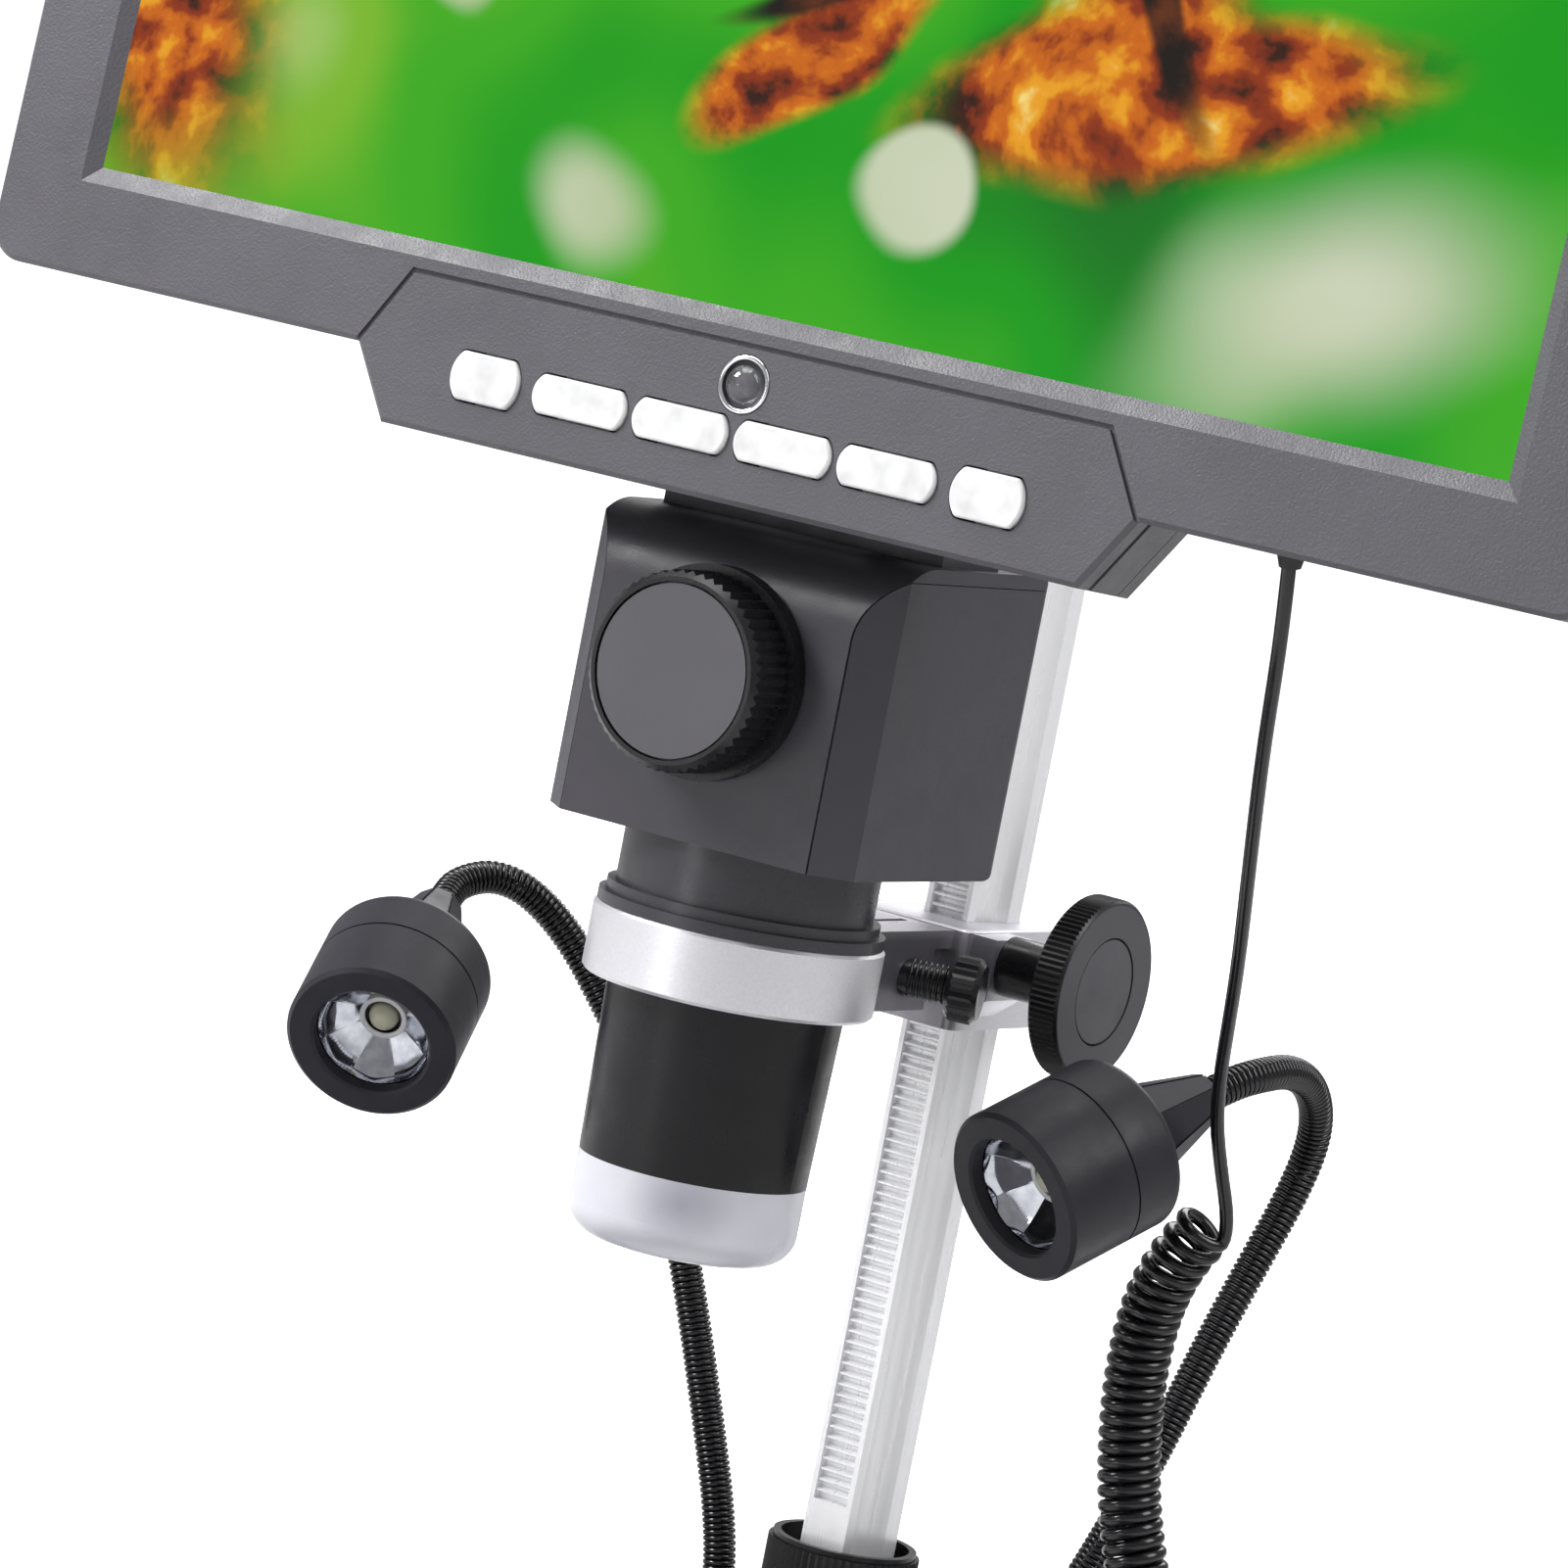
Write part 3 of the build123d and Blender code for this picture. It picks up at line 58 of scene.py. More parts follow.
camera_data.lens = focal_pixels / picture_pixels * sensor_width
camera = bpy.data.objects.new("camera", camera_data)
bpy.context.collection.objects.link(camera)
axis_x = sideways * math.cos(lean) + upward * math.sin(lean)
axis_y = upward * math.cos(lean) - sideways * math.sin(lean)
camera.matrix_world = Matrix((axis_x, axis_y, -inward)).transposed().to_4x4()
camera.location = camera_place
bpy.context.scene.camera = camera

# ------------------------------------------------------------ the cord with its coil
# The same points as the solids have.
lead_points = [
    (0.0810, -0.01835, 0.2074), (0.0810, -0.0175, 0.2030), (0.0794, -0.0132, 0.1949),
    (0.0754, -0.0045, 0.1822), (0.0705, 0.0075, 0.1666), (0.0654, 0.0200, 0.1516),
    (0.0604, 0.0305, 0.1406), (0.0578, 0.0360, 0.1335), (0.0562, 0.0410, 0.1261),
    (0.0559, 0.0460, 0.1190), (0.0563, 0.0497, 0.1128),
]
coil_points = [
    (0.0537, 0.0505, 0.1116), (0.0509, 0.0510, 0.1080), (0.0482, 0.0517, 0.1034),
    (0.0461, 0.0525, 0.0978), (0.0451, 0.0533, 0.0910), (0.0450, 0.0542, 0.0831),
    (0.0459, 0.0549, 0.0751), (0.0475, 0.0555, 0.0673), (0.0502, 0.0560, 0.0598),
    (0.0522, 0.0562, 0.0526), (0.0533, 0.0563, 0.0445), (0.0535, 0.0563, 0.0350),
    (0.0535, 0.0563, 0.0265),
]
tail_points = [(0.0535, 0.0563, 0.0235), (0.0535, 0.0563, 0.0205), (0.0535, 0.0563, 0.0175)]
cord_radius = 0.00098
cord_detail = 3                   # steps between two points of the wire
guide_detail = 16                 # steps between two points of a middle line
coil_turn_radius = 0.00372
coil_pitch = 0.00203
coil_margin = 0.0010              # left free at both ends of the middle line
coil_first_side = (0.70, 0.10, -0.70)
points_a_turn = 12
loose_turns = 5                   # at the top, where the weight pulls them apart
loose_narrowing = 0.05
loose_spreading = 0.55


def spline_of(name, points, detail, thickness=0.0):
    """A smooth NURBS line through the room, as thick as asked."""
    data = bpy.data.curves.new(name, "CURVE")
    data.dimensions = "3D"
    data.resolution_u = detail
    data.bevel_depth = 1.0 if thickness else 0.0
    data.bevel_resolution = 3
    data.use_fill_caps = True
    line = data.splines.new("NURBS")
    line.points.add(len(points) - 1)
    for spot, point in zip(line.points, points):
        spot.co = (*point, 1)
        if thickness:
            spot.radius = thickness
    line.order_u = 3
    line.use_endpoint_u = True
    piece = bpy.data.objects.new(name, data)
    bpy.context.collection.objects.link(piece)
    return piece


def read_line(points, detail):
    """The places that the smooth line really passes, close together."""
    guide = spline_of("guide", points, detail)
    bpy.context.view_layer.update()
    seen = guide.evaluated_get(bpy.context.evaluated_depsgraph_get())
    shape = bpy.data.meshes.new_from_object(seen)
    places = [spot.co.copy() for spot in shape.vertices]
    bpy.data.objects.remove(guide)
    bpy.data.meshes.remove(shape)
    return places


def length_of(line):
    return sum((second - first).length for first, second in zip(line, line[1:]))


def walk(places, distance):
    """The place and the direction at a distance along a line."""
    for first, second in zip(places, places[1:]):
        step = (second - first).length
        if distance <= step:
            return first.lerp(second, distance / step), (second - first).normalized()
        distance -= step
    return places[-1], (places[-1] - places[-2]).normalized()


def wound_points(centre_line):
    """Turns round the coil's middle line, fanned at its top where the weight pulls them apart."""
    end = length_of(centre_line) - coil_margin
    across = Vector(coil_first_side)
    found = []
    distance, number = coil_margin, 0
    while distance < end:
        middle, ahead = walk(centre_line, distance)
        across = (across - ahead * across.dot(ahead)).normalized()
        front = ahead.cross(across)
        angle = 2 * math.pi * number / points_a_turn
        looseness = max(0.0, 1 - number / (loose_turns * points_a_turn))
        radius = coil_turn_radius * (1 - loose_narrowing * looseness)
        found.append(middle + (across * math.cos(angle) + front * math.sin(angle)) * radius)
        distance += coil_pitch / points_a_turn * (1 + loose_spreading * looseness)
        number += 1
    return found


cord_way = [Vector(point) for point in lead_points]
cord_way += wound_points(read_line(coil_points, guide_detail))
cord_way += [Vector(point) for point in tail_points]
cord_path = read_line(cord_way, cord_detail)
cord = spline_of("coiled_cord", cord_way, cord_detail, thickness=cord_radius)
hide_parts("cord_lead", "cord_coil", "cord_tail")


# ------------------------------------------------------------ how surfaces are made
def surface(name, colour, roughness, metallic=0.0, coat=0.0, specular=0.5):
    """A shader with its plain settings, and the object's own coordinates for what varies."""
    made = bpy.data.materials.new(name)
    made.use_nodes = True
    nodes = made.node_tree.nodes
    shader = nodes["Principled BSDF"]
    shader.inputs["Base Color"].default_value = (*colour, 1)
    shader.inputs["Roughness"].default_value = roughness
    shader.inputs["Metallic"].default_value = metallic
    shader.inputs["Coat Weight"].default_value = coat
    shader.inputs["Specular IOR Level"].default_value = specular
    place = nodes.new("ShaderNodeTexCoord")
    return made, nodes, made.node_tree.links, shader, place.outputs["Object"]


def noise(nodes, links, where, scale, detail, stretch=None):
    if stretch:
        mapping = nodes.new("ShaderNodeMapping")
        mapping.inputs["Scale"].default_value = stretch
        links.new(where, mapping.inputs["Vector"])
        where = mapping.outputs["Vector"]
    made = nodes.new("ShaderNodeTexNoise")
    made.inputs["Scale"].default_value = scale
    made.inputs["Detail"].default_value = detail
    links.new(where, made.inputs["Vector"])
    return made.outputs["Fac"]


def between(nodes, links, factor, low, high, start=0.3, end=0.7):
    """A colour or a number that goes from one end to the other with a pattern."""
    ramp = nodes.new("ShaderNodeValToRGB")
    first, last = ramp.color_ramp.elements
    first.position, last.position = start, end
    first.color = (*low, 1) if hasattr(low, "__len__") else (low, low, low, 1)
    last.color = (*high, 1) if hasattr(high, "__len__") else (high, high, high, 1)
    links.new(factor, ramp.inputs["Fac"])
    return ramp.outputs["Color"]


def mixed(nodes, links, amount, under, over, way="MIX"):
    """A colour over another, by an amount. The upper one may be a fixed colour."""
    mix = nodes.new("ShaderNodeMix")
    mix.data_type = "RGBA"
    mix.blend_type = way
    links.new(amount, mix.inputs["Factor"])
    links.new(under, mix.inputs["A"])
    if isinstance(over, tuple):
        mix.inputs["B"].default_value = (*over, 1)
    else:
        links.new(over, mix.inputs["B"])
    return mix.outputs["Result"]


def vector_step(nodes, links, operation, where, other=None):
    made = nodes.new("ShaderNodeVectorMath")
    made.operation = operation
    links.new(where, made.inputs[0])
    if other:
        made.inputs[1].default_value = other
    return made


def product(nodes, links, first, second):
    made = nodes.new("ShaderNodeMath")
    made.operation = "MULTIPLY"
    links.new(first, made.inputs[0])
    links.new(second, made.inputs[1])
    return made.outputs["Value"]


def ranged(nodes, links, value, from_min, from_max, to_min=0.0, to_max=1.0):
    made = nodes.new("ShaderNodeMapRange")
    made.inputs["From Min"].default_value = from_min
    made.inputs["From Max"].default_value = from_max
    made.inputs["To Min"].default_value = to_min
    made.inputs["To Max"].default_value = to_max
    links.new(value, made.inputs["Value"])
    return made.outputs["Result"]


def bumped(nodes, links, shader, factor, distance, strength=1.0):
    bump = nodes.new("ShaderNodeBump")
    bump.inputs["Distance"].default_value = distance
    bump.inputs["Strength"].default_value = strength
    links.new(factor, bump.inputs["Height"])
    links.new(bump.outputs["Normal"], shader.inputs["Normal"])


def ball_of(nodes, links, where, middle, size, turned=0.0):
    """A pattern that is 1 in the middle of an ellipsoid and 0 outside it."""
    mapping = nodes.new("ShaderNodeMapping")
    mapping.vector_type = "TEXTURE"
    mapping.inputs["Location"].default_value = middle
    mapping.inputs["Rotation"].default_value = (0, turned, 0)
    mapping.inputs["Scale"].default_value = size
    links.new(where, mapping.inputs["Vector"])
    ball = nodes.new("ShaderNodeTexGradient")
    ball.gradient_type = "SPHERICAL"
    links.new(mapping.outputs["Vector"], ball.inputs["Vector"])
    return ball.outputs["Fac"]


def grained_plastic(name, dark, light, roughness, grain, depth, coat=0.0, specular=0.5):
    """Moulded plastic with a fine spark-eroded grain and faint handling marks."""
    cloud_scale, marks_scale = 38, 220
    smoother, rougher = roughness - 0.07, roughness + 0.08
    made, nodes, links, shader, where = surface(name, dark, roughness, coat=coat, specular=specular)
    cloud = noise(nodes, links, where, cloud_scale, 4)
    links.new(between(nodes, links, cloud, dark, light), shader.inputs["Base Color"])
    marks = noise(nodes, links, where, marks_scale, 5)
    links.new(between(nodes, links, marks, smoother, rougher), shader.inputs["Roughness"])
    bumped(nodes, links, shader, noise(nodes, links, where, grain, 2), depth)
    return made


def brushed_metal(name, dark, light, roughness, stretch, depth=0.00002, metallic=1.0, scale=900):
    """Metal with drawn or turned streaks along one direction."""
    rougher, smoother = roughness + 0.1, roughness - 0.06
    made, nodes, links, shader, where = surface(name, light, roughness, metallic=metallic)
    streaks = noise(nodes, links, where, scale, 4, stretch)
    links.new(between(nodes, links, streaks, dark, light), shader.inputs["Base Color"])
    links.new(between(nodes, links, streaks, rougher, smoother), shader.inputs["Roughness"])
    bumped(nodes, links, shader, streaks, depth, 0.5)
    return made


case_grain = grained_plastic(
    "case_grain", (0.080, 0.077, 0.089), (0.096, 0.093, 0.107), 0.46, 2600, 0.00010)
housing_grain = grained_plastic(
    "housing_grain", (0.040, 0.039, 0.048), (0.050, 0.048, 0.060), 0.38, 4200, 0.00002)
cover_satin = grained_plastic(
    "cover_satin", (0.050, 0.048, 0.057), (0.062, 0.059, 0.070), 0.36, 5200, 0.00003, specular=0.3)
tube_black = grained_plastic(
    "tube_black", (0.030, 0.029, 0.036), (0.040, 0.038, 0.047), 0.30, 5000, 0.00001)
barrel_black = grained_plastic(
    "barrel_black", (0.005, 0.0047, 0.006), (0.008, 0.0077, 0.010), 0.30, 5000, 0.00001, specular=0.3)
knob_black = grained_plastic(
    "knob_black", (0.006, 0.006, 0.007), (0.011, 0.011, 0.013), 0.27, 4000, 0.00001, specular=0.4)
disc_black = grained_plastic(
    "disc_black", (0.070, 0.067, 0.078), (0.086, 0.083, 0.096), 0.42, 5200, 0.00002)
lamp_black = grained_plastic(
    "lamp_black", (0.021, 0.020, 0.026), (0.030, 0.029, 0.037), 0.42, 3600, 0.00002, specular=0.25)
neck_black = grained_plastic(
    "neck_black", (0.004, 0.004, 0.005), (0.010, 0.010, 0.012), 0.20, 3000, 0.00001)
cord_black = grained_plastic(
    "cord_black", (0.004, 0.004, 0.005), (0.009, 0.008, 0.010), 0.20, 3000, 0.00001)
rubber_black = grained_plastic(
    "rubber_black", (0.012, 0.012, 0.012), (0.020, 0.020, 0.020), 0.62, 1800, 0.00006)
base_grain = grained_plastic(
    "base_grain", (0.045, 0.044, 0.049), (0.058, 0.056, 0.062), 0.48, 2200, 0.00008)
collar_black = grained_plastic(
    "collar_black", (0.004, 0.004, 0.005), (0.008, 0.008, 0.009), 0.32, 3600, 0.00001, specular=0.3)
stage_white = grained_plastic(
    "stage_white", (0.58, 0.58, 0.59), (0.64, 0.64, 0.65), 0.36, 2600, 0.00002)
foil_silver = grained_plastic(
    "foil_silver", (0.35, 0.36, 0.38), (0.45, 0.46, 0.48), 0.34, 900, 0.00008)
ring_silver = brushed_metal(
    "ring_silver", (0.74, 0.73, 0.77), (0.80, 0.79, 0.83), 0.36, (1, 1, 1), 0.00001, 0.80, 2400)
column_silver = brushed_metal(
    "column_silver", (0.90, 0.90, 0.92), (0.95, 0.95, 0.97), 0.30, (1, 1, 0.05), 0.00001, 0.22)
steel = brushed_metal(
    "turned_steel", (0.45, 0.45, 0.47), (0.60, 0.60, 0.62), 0.26, (0.05, 1, 1))
chrome = brushed_metal(
    "chrome_rim", (0.80, 0.80, 0.82), (0.88, 0.88, 0.90), 0.08, (1, 1, 1), 0.000002)
cup_chrome = brushed_metal(
    "cup_chrome", (0.40, 0.41, 0.46), (0.62, 0.63, 0.68), 0.07, (1, 1, 1), 0.000002, 1.0, 500)
chip_yellow = grained_plastic(
    "chip_yellow", (0.40, 0.39, 0.27), (0.54, 0.53, 0.42), 0.20, 900, 0.00004, coat=0.6)


def frosted_white():
    """Lavender white plastic that lets light through, with a painted shade where the dark barrel lies behind
    it.
    """
    made, nodes, links, shader, where = surface("frosted_white", (0.78, 0.78, 0.86), 0.34)
    barrel_shade_middle, barrel_shade_size = (0.0075, -0.0139, 0.1050), (0.0085, 0.0085, 0.0060)
    cloud = between(nodes, links, noise(nodes, links, where, 60, 3), (0.72, 0.72, 0.80), (0.84, 0.84, 0.91))
    # Painted shade: the colour is darkened in an oval where the dark barrel lies behind the cap.
    barrel_shade_mask = ball_of(nodes, links, where, barrel_shade_middle, barrel_shade_size)
    barrel_shaded = mixed(nodes, links, barrel_shade_mask, cloud, (0.66, 0.66, 0.70), "MULTIPLY")
    links.new(barrel_shaded, shader.inputs["Base Color"])
    shader.inputs["Subsurface Weight"].default_value = 0.35
    shader.inputs["Subsurface Radius"].default_value = (0.004, 0.004, 0.005)
    shader.inputs["Transmission Weight"].default_value = 0.25
    shader.inputs["Coat Weight"].default_value = 0.3
    bumped(nodes, links, shader, noise(nodes, links, where, 2200, 2), 0.00002)
    return made


def pearl_key():
    """White key plastic, a little uneven as the light behind it is."""
    made, nodes, links, shader, where = surface("pearl_key", (0.86, 0.86, 0.87), 0.22, coat=0.4)
    cloud = noise(nodes, links, where, 260, 2)
    colour = between(nodes, links, cloud, (0.64, 0.64, 0.65), (0.86, 0.86, 0.86))
    links.new(colour, shader.inputs["Base Color"])
    shader.inputs["Subsurface Weight"].default_value = 0.2
    shader.inputs["Subsurface Radius"].default_value = (0.002, 0.002, 0.002)
    bumped(nodes, links, shader, noise(nodes, links, where, 700, 2), 0.00002)
    return made


def circuit_green():
    """Solder mask with a close pattern of tracks."""
    made, nodes, links, shader, where = surface("circuit_green", (0.03, 0.16, 0.07), 0.3, coat=0.5)
    tracks = nodes.new("ShaderNodeTexBrick")
    tracks.inputs["Scale"].default_value = 260
    tracks.inputs["Color1"].default_value = (0.03, 0.17, 0.07, 1)
    tracks.inputs["Color2"].default_value = (0.04, 0.21, 0.09, 1)
    tracks.inputs["Mortar"].default_value = (0.10, 0.30, 0.14, 1)
    links.new(where, tracks.inputs["Vector"])
    links.new(tracks.outputs["Color"], shader.inputs["Base Color"])
    bumped(nodes, links, shader, tracks.outputs["Fac"], 0.00003)
    return made


def clear_glass():
    clearest, haziest = 0.02, 0.05
    made, nodes, links, shader, where = surface("lens_clear", (0.96, 0.98, 1.0), clearest)
    shader.inputs["Transmission Weight"].default_value = 1.0
    shader.inputs["IOR"].default_value = 1.49
    haze = noise(nodes, links, where, 120, 2)
    links.new(between(nodes, links, haze, clearest, haziest), shader.inputs["Roughness"])
    return made


def two_tone_knob():
    """A black knurled edge round a turned face that is a little paler."""
    shaft_middle = (0, 0.05275, 0.1382)
    face_radius, edge_radius = 0.01235, 0.01255
    made, nodes, links, shader, where = surface("two_tone_knob", (0.008, 0.008, 0.009), 0.34, specular=0.4)
    offset = vector_step(nodes, links, "SUBTRACT", where, shaft_middle)
    flat = vector_step(nodes, links, "MULTIPLY", offset.outputs["Vector"], (0, 1, 1))
    reach = vector_step(nodes, links, "LENGTH", flat.outputs["Vector"])
    face = ranged(nodes, links, reach.outputs["Value"], edge_radius, face_radius)
    colour = between(nodes, links, face, (0.006, 0.006, 0.007), (0.062, 0.060, 0.070), 0.0, 1.0)
    links.new(colour, shader.inputs["Base Color"])
    bumped(nodes, links, shader, noise(nodes, links, where, 4200, 2), 0.00002)
    return made


def painted_arm_shade(made):
    """Painted shade on the cast arm's upright sides, between the ring and the block."""
    nodes, links = made.node_tree.nodes, made.node_tree.links
    base = nodes["Principled BSDF"].inputs["Base Color"]
    where = nodes.new("ShaderNodeTexCoord").outputs["Object"]
    axes = nodes.new("ShaderNodeSeparateXYZ")
    links.new(where, axes.inputs[0])
    # Painted shade mask: 1 on the upright sides behind the ring, before the block and under the top plate.
    behind_ring = between(nodes, links, axes.outputs["Y"], 0.0, 1.0, 0.0215, 0.0250)
    before_block = between(nodes, links, axes.outputs["Y"], 1.0, 0.0, 0.0440, 0.0530)
    under_top = between(nodes, links, axes.outputs["Z"], 1.0, 0.0, 0.1412, 0.1417)
    shaded = product(nodes, links, product(nodes, links, behind_ring, before_block), under_top)
    links.new(mixed(nodes, links, shaded, base.links[0].from_socket, (0.23, 0.22, 0.25)), base)


painted_arm_shade(ring_silver)
frosted = frosted_white()
pearl = pearl_key()
board_green = circuit_green()
lens_clear = clear_glass()

# ------------------------------------------------------------ the picture on the screen
screen_tilt = math.radians(4.0)
picture_foot = Vector((0, -0.0234, 0.2244))
screen_across = Vector((1, 0, 0))
screen_in = Vector((0, math.cos(screen_tilt), -math.sin(screen_tilt)))
screen_up = Vector((0, math.sin(screen_tilt), math.cos(screen_tilt)))


def on_screen(x, depth, rise):
    """A place given from the middle of the picture's lower edge."""
    return picture_foot + screen_across * x + screen_in * depth + screen_up * rise


def lit_picture():
    """A close-up of orange stamens over soft green leaves, out of focus behind."""
    made, nodes, links, shader, where = surface(
        "lit_picture", (0.008, 0.008, 0.008), 0.16, coat=0.22, specular=0.08)
    shader.inputs["Coat Roughness"].default_value = 0.05

    def ramp(factor, stops):
        made_ramp = nodes.new("ShaderNodeValToRGB")
        band = made_ramp.color_ramp
        band.interpolation = "EASE"
        while len(band.elements) < len(stops):
            band.elements.new(0.5)
        for element, (spot, colour) in zip(band.elements, stops):
            element.position = spot
            element.color = (*colour, 1)
        links.new(factor, made_ramp.inputs["Fac"])
        return made_ramp.outputs["Color"]

    def warped(amount, scale):
        """The object's own coordinates, pushed about so that edges wander."""
        shift = noise(nodes, links, where, scale, 1.0).node
        spread = nodes.new("ShaderNodeVectorMath")
        spread.operation = "MULTIPLY_ADD"
        spread.inputs[1].default_value = (amount, amount, amount)
        links.new(shift.outputs["Color"], spread.inputs[0])
        links.new(where, spread.inputs[2])
        return spread.outputs["Vector"]

    def oval(middle, size, edge, squash, turned):
        """A soft oval, 1 in its middle and 0 outside."""
        ball = ball_of(nodes, links, wavy, on_screen(middle[0], 0, middle[1]), (size, 1, size * squash), turned)
        return ramp(ball, [(0.0, (0, 0, 0)), (edge, (1, 1, 1))])

    wavy = warped(0.02, 22)
    leaves = noise(nodes, links, where, 17, 1.2)
    picture = ramp(leaves, [
        (0.30, (0.001, 0.16, 0.006)), (0.44, (0.002, 0.32, 0.003)), (0.55, (0.04, 0.40, 0.006)),
        (0.66, (0.19, 0.47, 0.02)), (0.80, (0.46, 0.60, 0.22)),
    ])
    white = ramp(leaves, [(0.3, (0.62, 0.66, 0.50)), (0.7, (0.40, 0.52, 0.26))])
    grains = noise(nodes, links, wavy, 110, 4.0)
    orange = ramp(grains, [
        (0.34, (0.030, 0.006, 0.001)), (0.45, (0.26, 0.030, 0.002)), (0.55, (0.58, 0.13, 0.003)),
        (0.64, (0.80, 0.34, 0.010)), (0.74, (0.92, 0.70, 0.20)),
    ])
    dusk = ramp(grains, [(0.35, (0.006, 0.003, 0.001)), (0.65, (0.12, 0.025, 0.003))])
    # Each oval's middle, size, edge, squash, turn and colour. The later ones lie over the earlier ones.
    for middle, size, edge, squash, turned, colour in (
        ((-0.074, 0.094), 0.036, 0.90, 0.55, 0.40, white),
        ((0.092, 0.026), 0.040, 0.90, 0.50, -0.50, white),
        ((-0.020, 0.018), 0.016, 0.80, 0.60, 0.50, white),
        ((-0.094, 0.030), 0.034, 0.70, 0.70, 0.90, orange),
        ((0.040, 0.080), 0.060, 0.50, 0.34, 0.75, orange),
        ((0.062, 0.048), 0.046, 0.40, 0.30, -0.30, orange),
        ((-0.035, 0.070), 0.030, 0.40, 0.50, 0.60, orange),
        ((0.010, 0.046), 0.026, 0.35, 0.36, -0.80, orange),
        ((0.052, 0.070), 0.040, 0.35, 0.10, 0.90, dusk),
        ((0.020, 0.062), 0.030, 0.35, 0.12, -0.50, dusk),
        ((-0.050, 0.050), 0.012, 0.30, 0.90, 0.0, white),
        ((-0.002, 0.086), 0.010, 0.30, 0.90, 0.0, white),
        ((0.030, 0.030), 0.011, 0.30, 0.80, 0.0, white),
        ((-0.024, 0.104), 0.008, 0.30, 0.90, 0.0, white),
    ):
        picture = mixed(nodes, links, oval(middle, size, edge, squash, turned), picture, colour)
    links.new(picture, shader.inputs["Emission Color"])
    shader.inputs["Emission Strength"].default_value = 1.0
    return made


# ------------------------------------------------------------ finishes of the solids
def dress(finish, *names):
    for name in names:
        for holder in parts[name].material_slots:
            holder.material = finish


keys = ["power_button", "menu_button", "up_button", "down_button", "ok_button", "capture_button"]
dress(case_grain, "front_bezel", "mid_frame", "rear_cover")
dress(housing_grain, "housing_shell")
dress(cover_satin, "housing_front_cover", "hinge_bracket", "base_bottom_cover", "column_cap")
dress(barrel_black, "barrel_tube")
dress(tube_black, "upper_tube")
dress(knob_black, "focus_knob", "dimmer_knob", "shaft_hubs", "neck_sockets", "clamp_thumbscrew")
dress(two_tone_knob(), "height_knob_right", "height_knob_left")
dress(disc_black, "focus_knob_disc", "height_knob_discs", "ir_window")
dress(ring_silver, "carriage_arm")
dress(column_silver, "column")
dress(collar_black, "collar_nut", "lens_cell")
dress(lamp_black, "lamp_head_left", "lamp_head_right")
dress(steel, "base_screws", "display_screws", "pinion_shaft", "focus_shaft", "hinge_pin")
dress(frosted, "frosted_cap")
dress(lens_clear, "lens_glass", "lamp_lens_left", "lamp_lens_right")
dress(lit_picture(), "lcd_panel")
dress(pearl, *keys)
dress(board_green, "main_board", "keypad_board", "sensor_board", "lamp_driver_board", "led_ring_board")
dress(foil_silver, "battery")
dress(rubber_black, "rubber_feet", "cord_gland", "cord_boot")
dress(stage_white, "stage_insert", "lamp_led_left", "lamp_led_right")
dress(base_grain, "base_plate")
cord.data.materials.append(cord_black)


# ------------------------------------------------------------ making pieces
def nothing_selected():
    if bpy.context.object and bpy.context.object.mode != "OBJECT":
        bpy.ops.object.mode_set(mode="OBJECT")
    bpy.ops.object.select_all(action="DESELECT")


def take(piece):
    nothing_selected()
    bpy.context.view_layer.objects.active = piece
    piece.select_set(True)


def settle(piece, name, body, finish, smooth):
    """Names a piece, puts its place into its mesh, and says what it rides on."""
    take(piece)
    bpy.ops.object.transform_apply(location=True, rotation=True, scale=True)
    bpy.ops.object.shade_smooth_by_angle(angle=math.radians(smooth))
    piece.name = name
    piece.data.materials.clear()
    piece.data.materials.append(finish)
    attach(piece, body)


def ring(major, minor, around, across, place=(0, 0, 0), facing=(0, 0, 0)):
    nothing_selected()
    bpy.ops.mesh.primitive_torus_add(
        major_radius=major, minor_radius=minor, major_segments=around, minor_segments=across,
        location=place, rotation=facing)
    return bpy.context.object


def ball(radius, around, rows, place, facing):
    nothing_selected()
    bpy.ops.mesh.primitive_uv_sphere_add(
        segments=around, ring_count=rows, radius=radius, location=place, rotation=facing)
    return bpy.context.object


def repeat(piece, step, count):
    """Sets a piece in a row along its own axis."""
    rows = piece.modifiers.new("rows", "ARRAY")
    rows.use_relative_offset = False
    rows.use_constant_offset = True
    rows.constant_offset_displace = (0, 0, step)
    rows.count = count


def apply_all(piece):
    take(piece)
    for change in list(piece.modifiers):
        bpy.ops.object.modifier_apply(modifier=change.name)


def halve(place, way):
    """Cuts off what lies beyond a plane, and closes the cut."""
    bpy.ops.object.mode_set(mode="EDIT")
    bpy.ops.mesh.select_all(action="SELECT")
    bpy.ops.mesh.bisect(plane_co=place, plane_no=way, use_fill=True, clear_outer=True)
    bpy.ops.object.mode_set(mode="OBJECT")


def thin_along(share):
    """Makes a ring flatter along its own axis."""
    bpy.context.object.scale.z = share
    bpy.ops.object.transform_apply(location=False, rotation=False, scale=True)
    bpy.ops.object.mode_set(mode="EDIT")
    bpy.ops.mesh.select_all(action="SELECT")
    bpy.ops.mesh.normals_make_consistent(inside=False)
    bpy.ops.object.mode_set(mode="OBJECT")


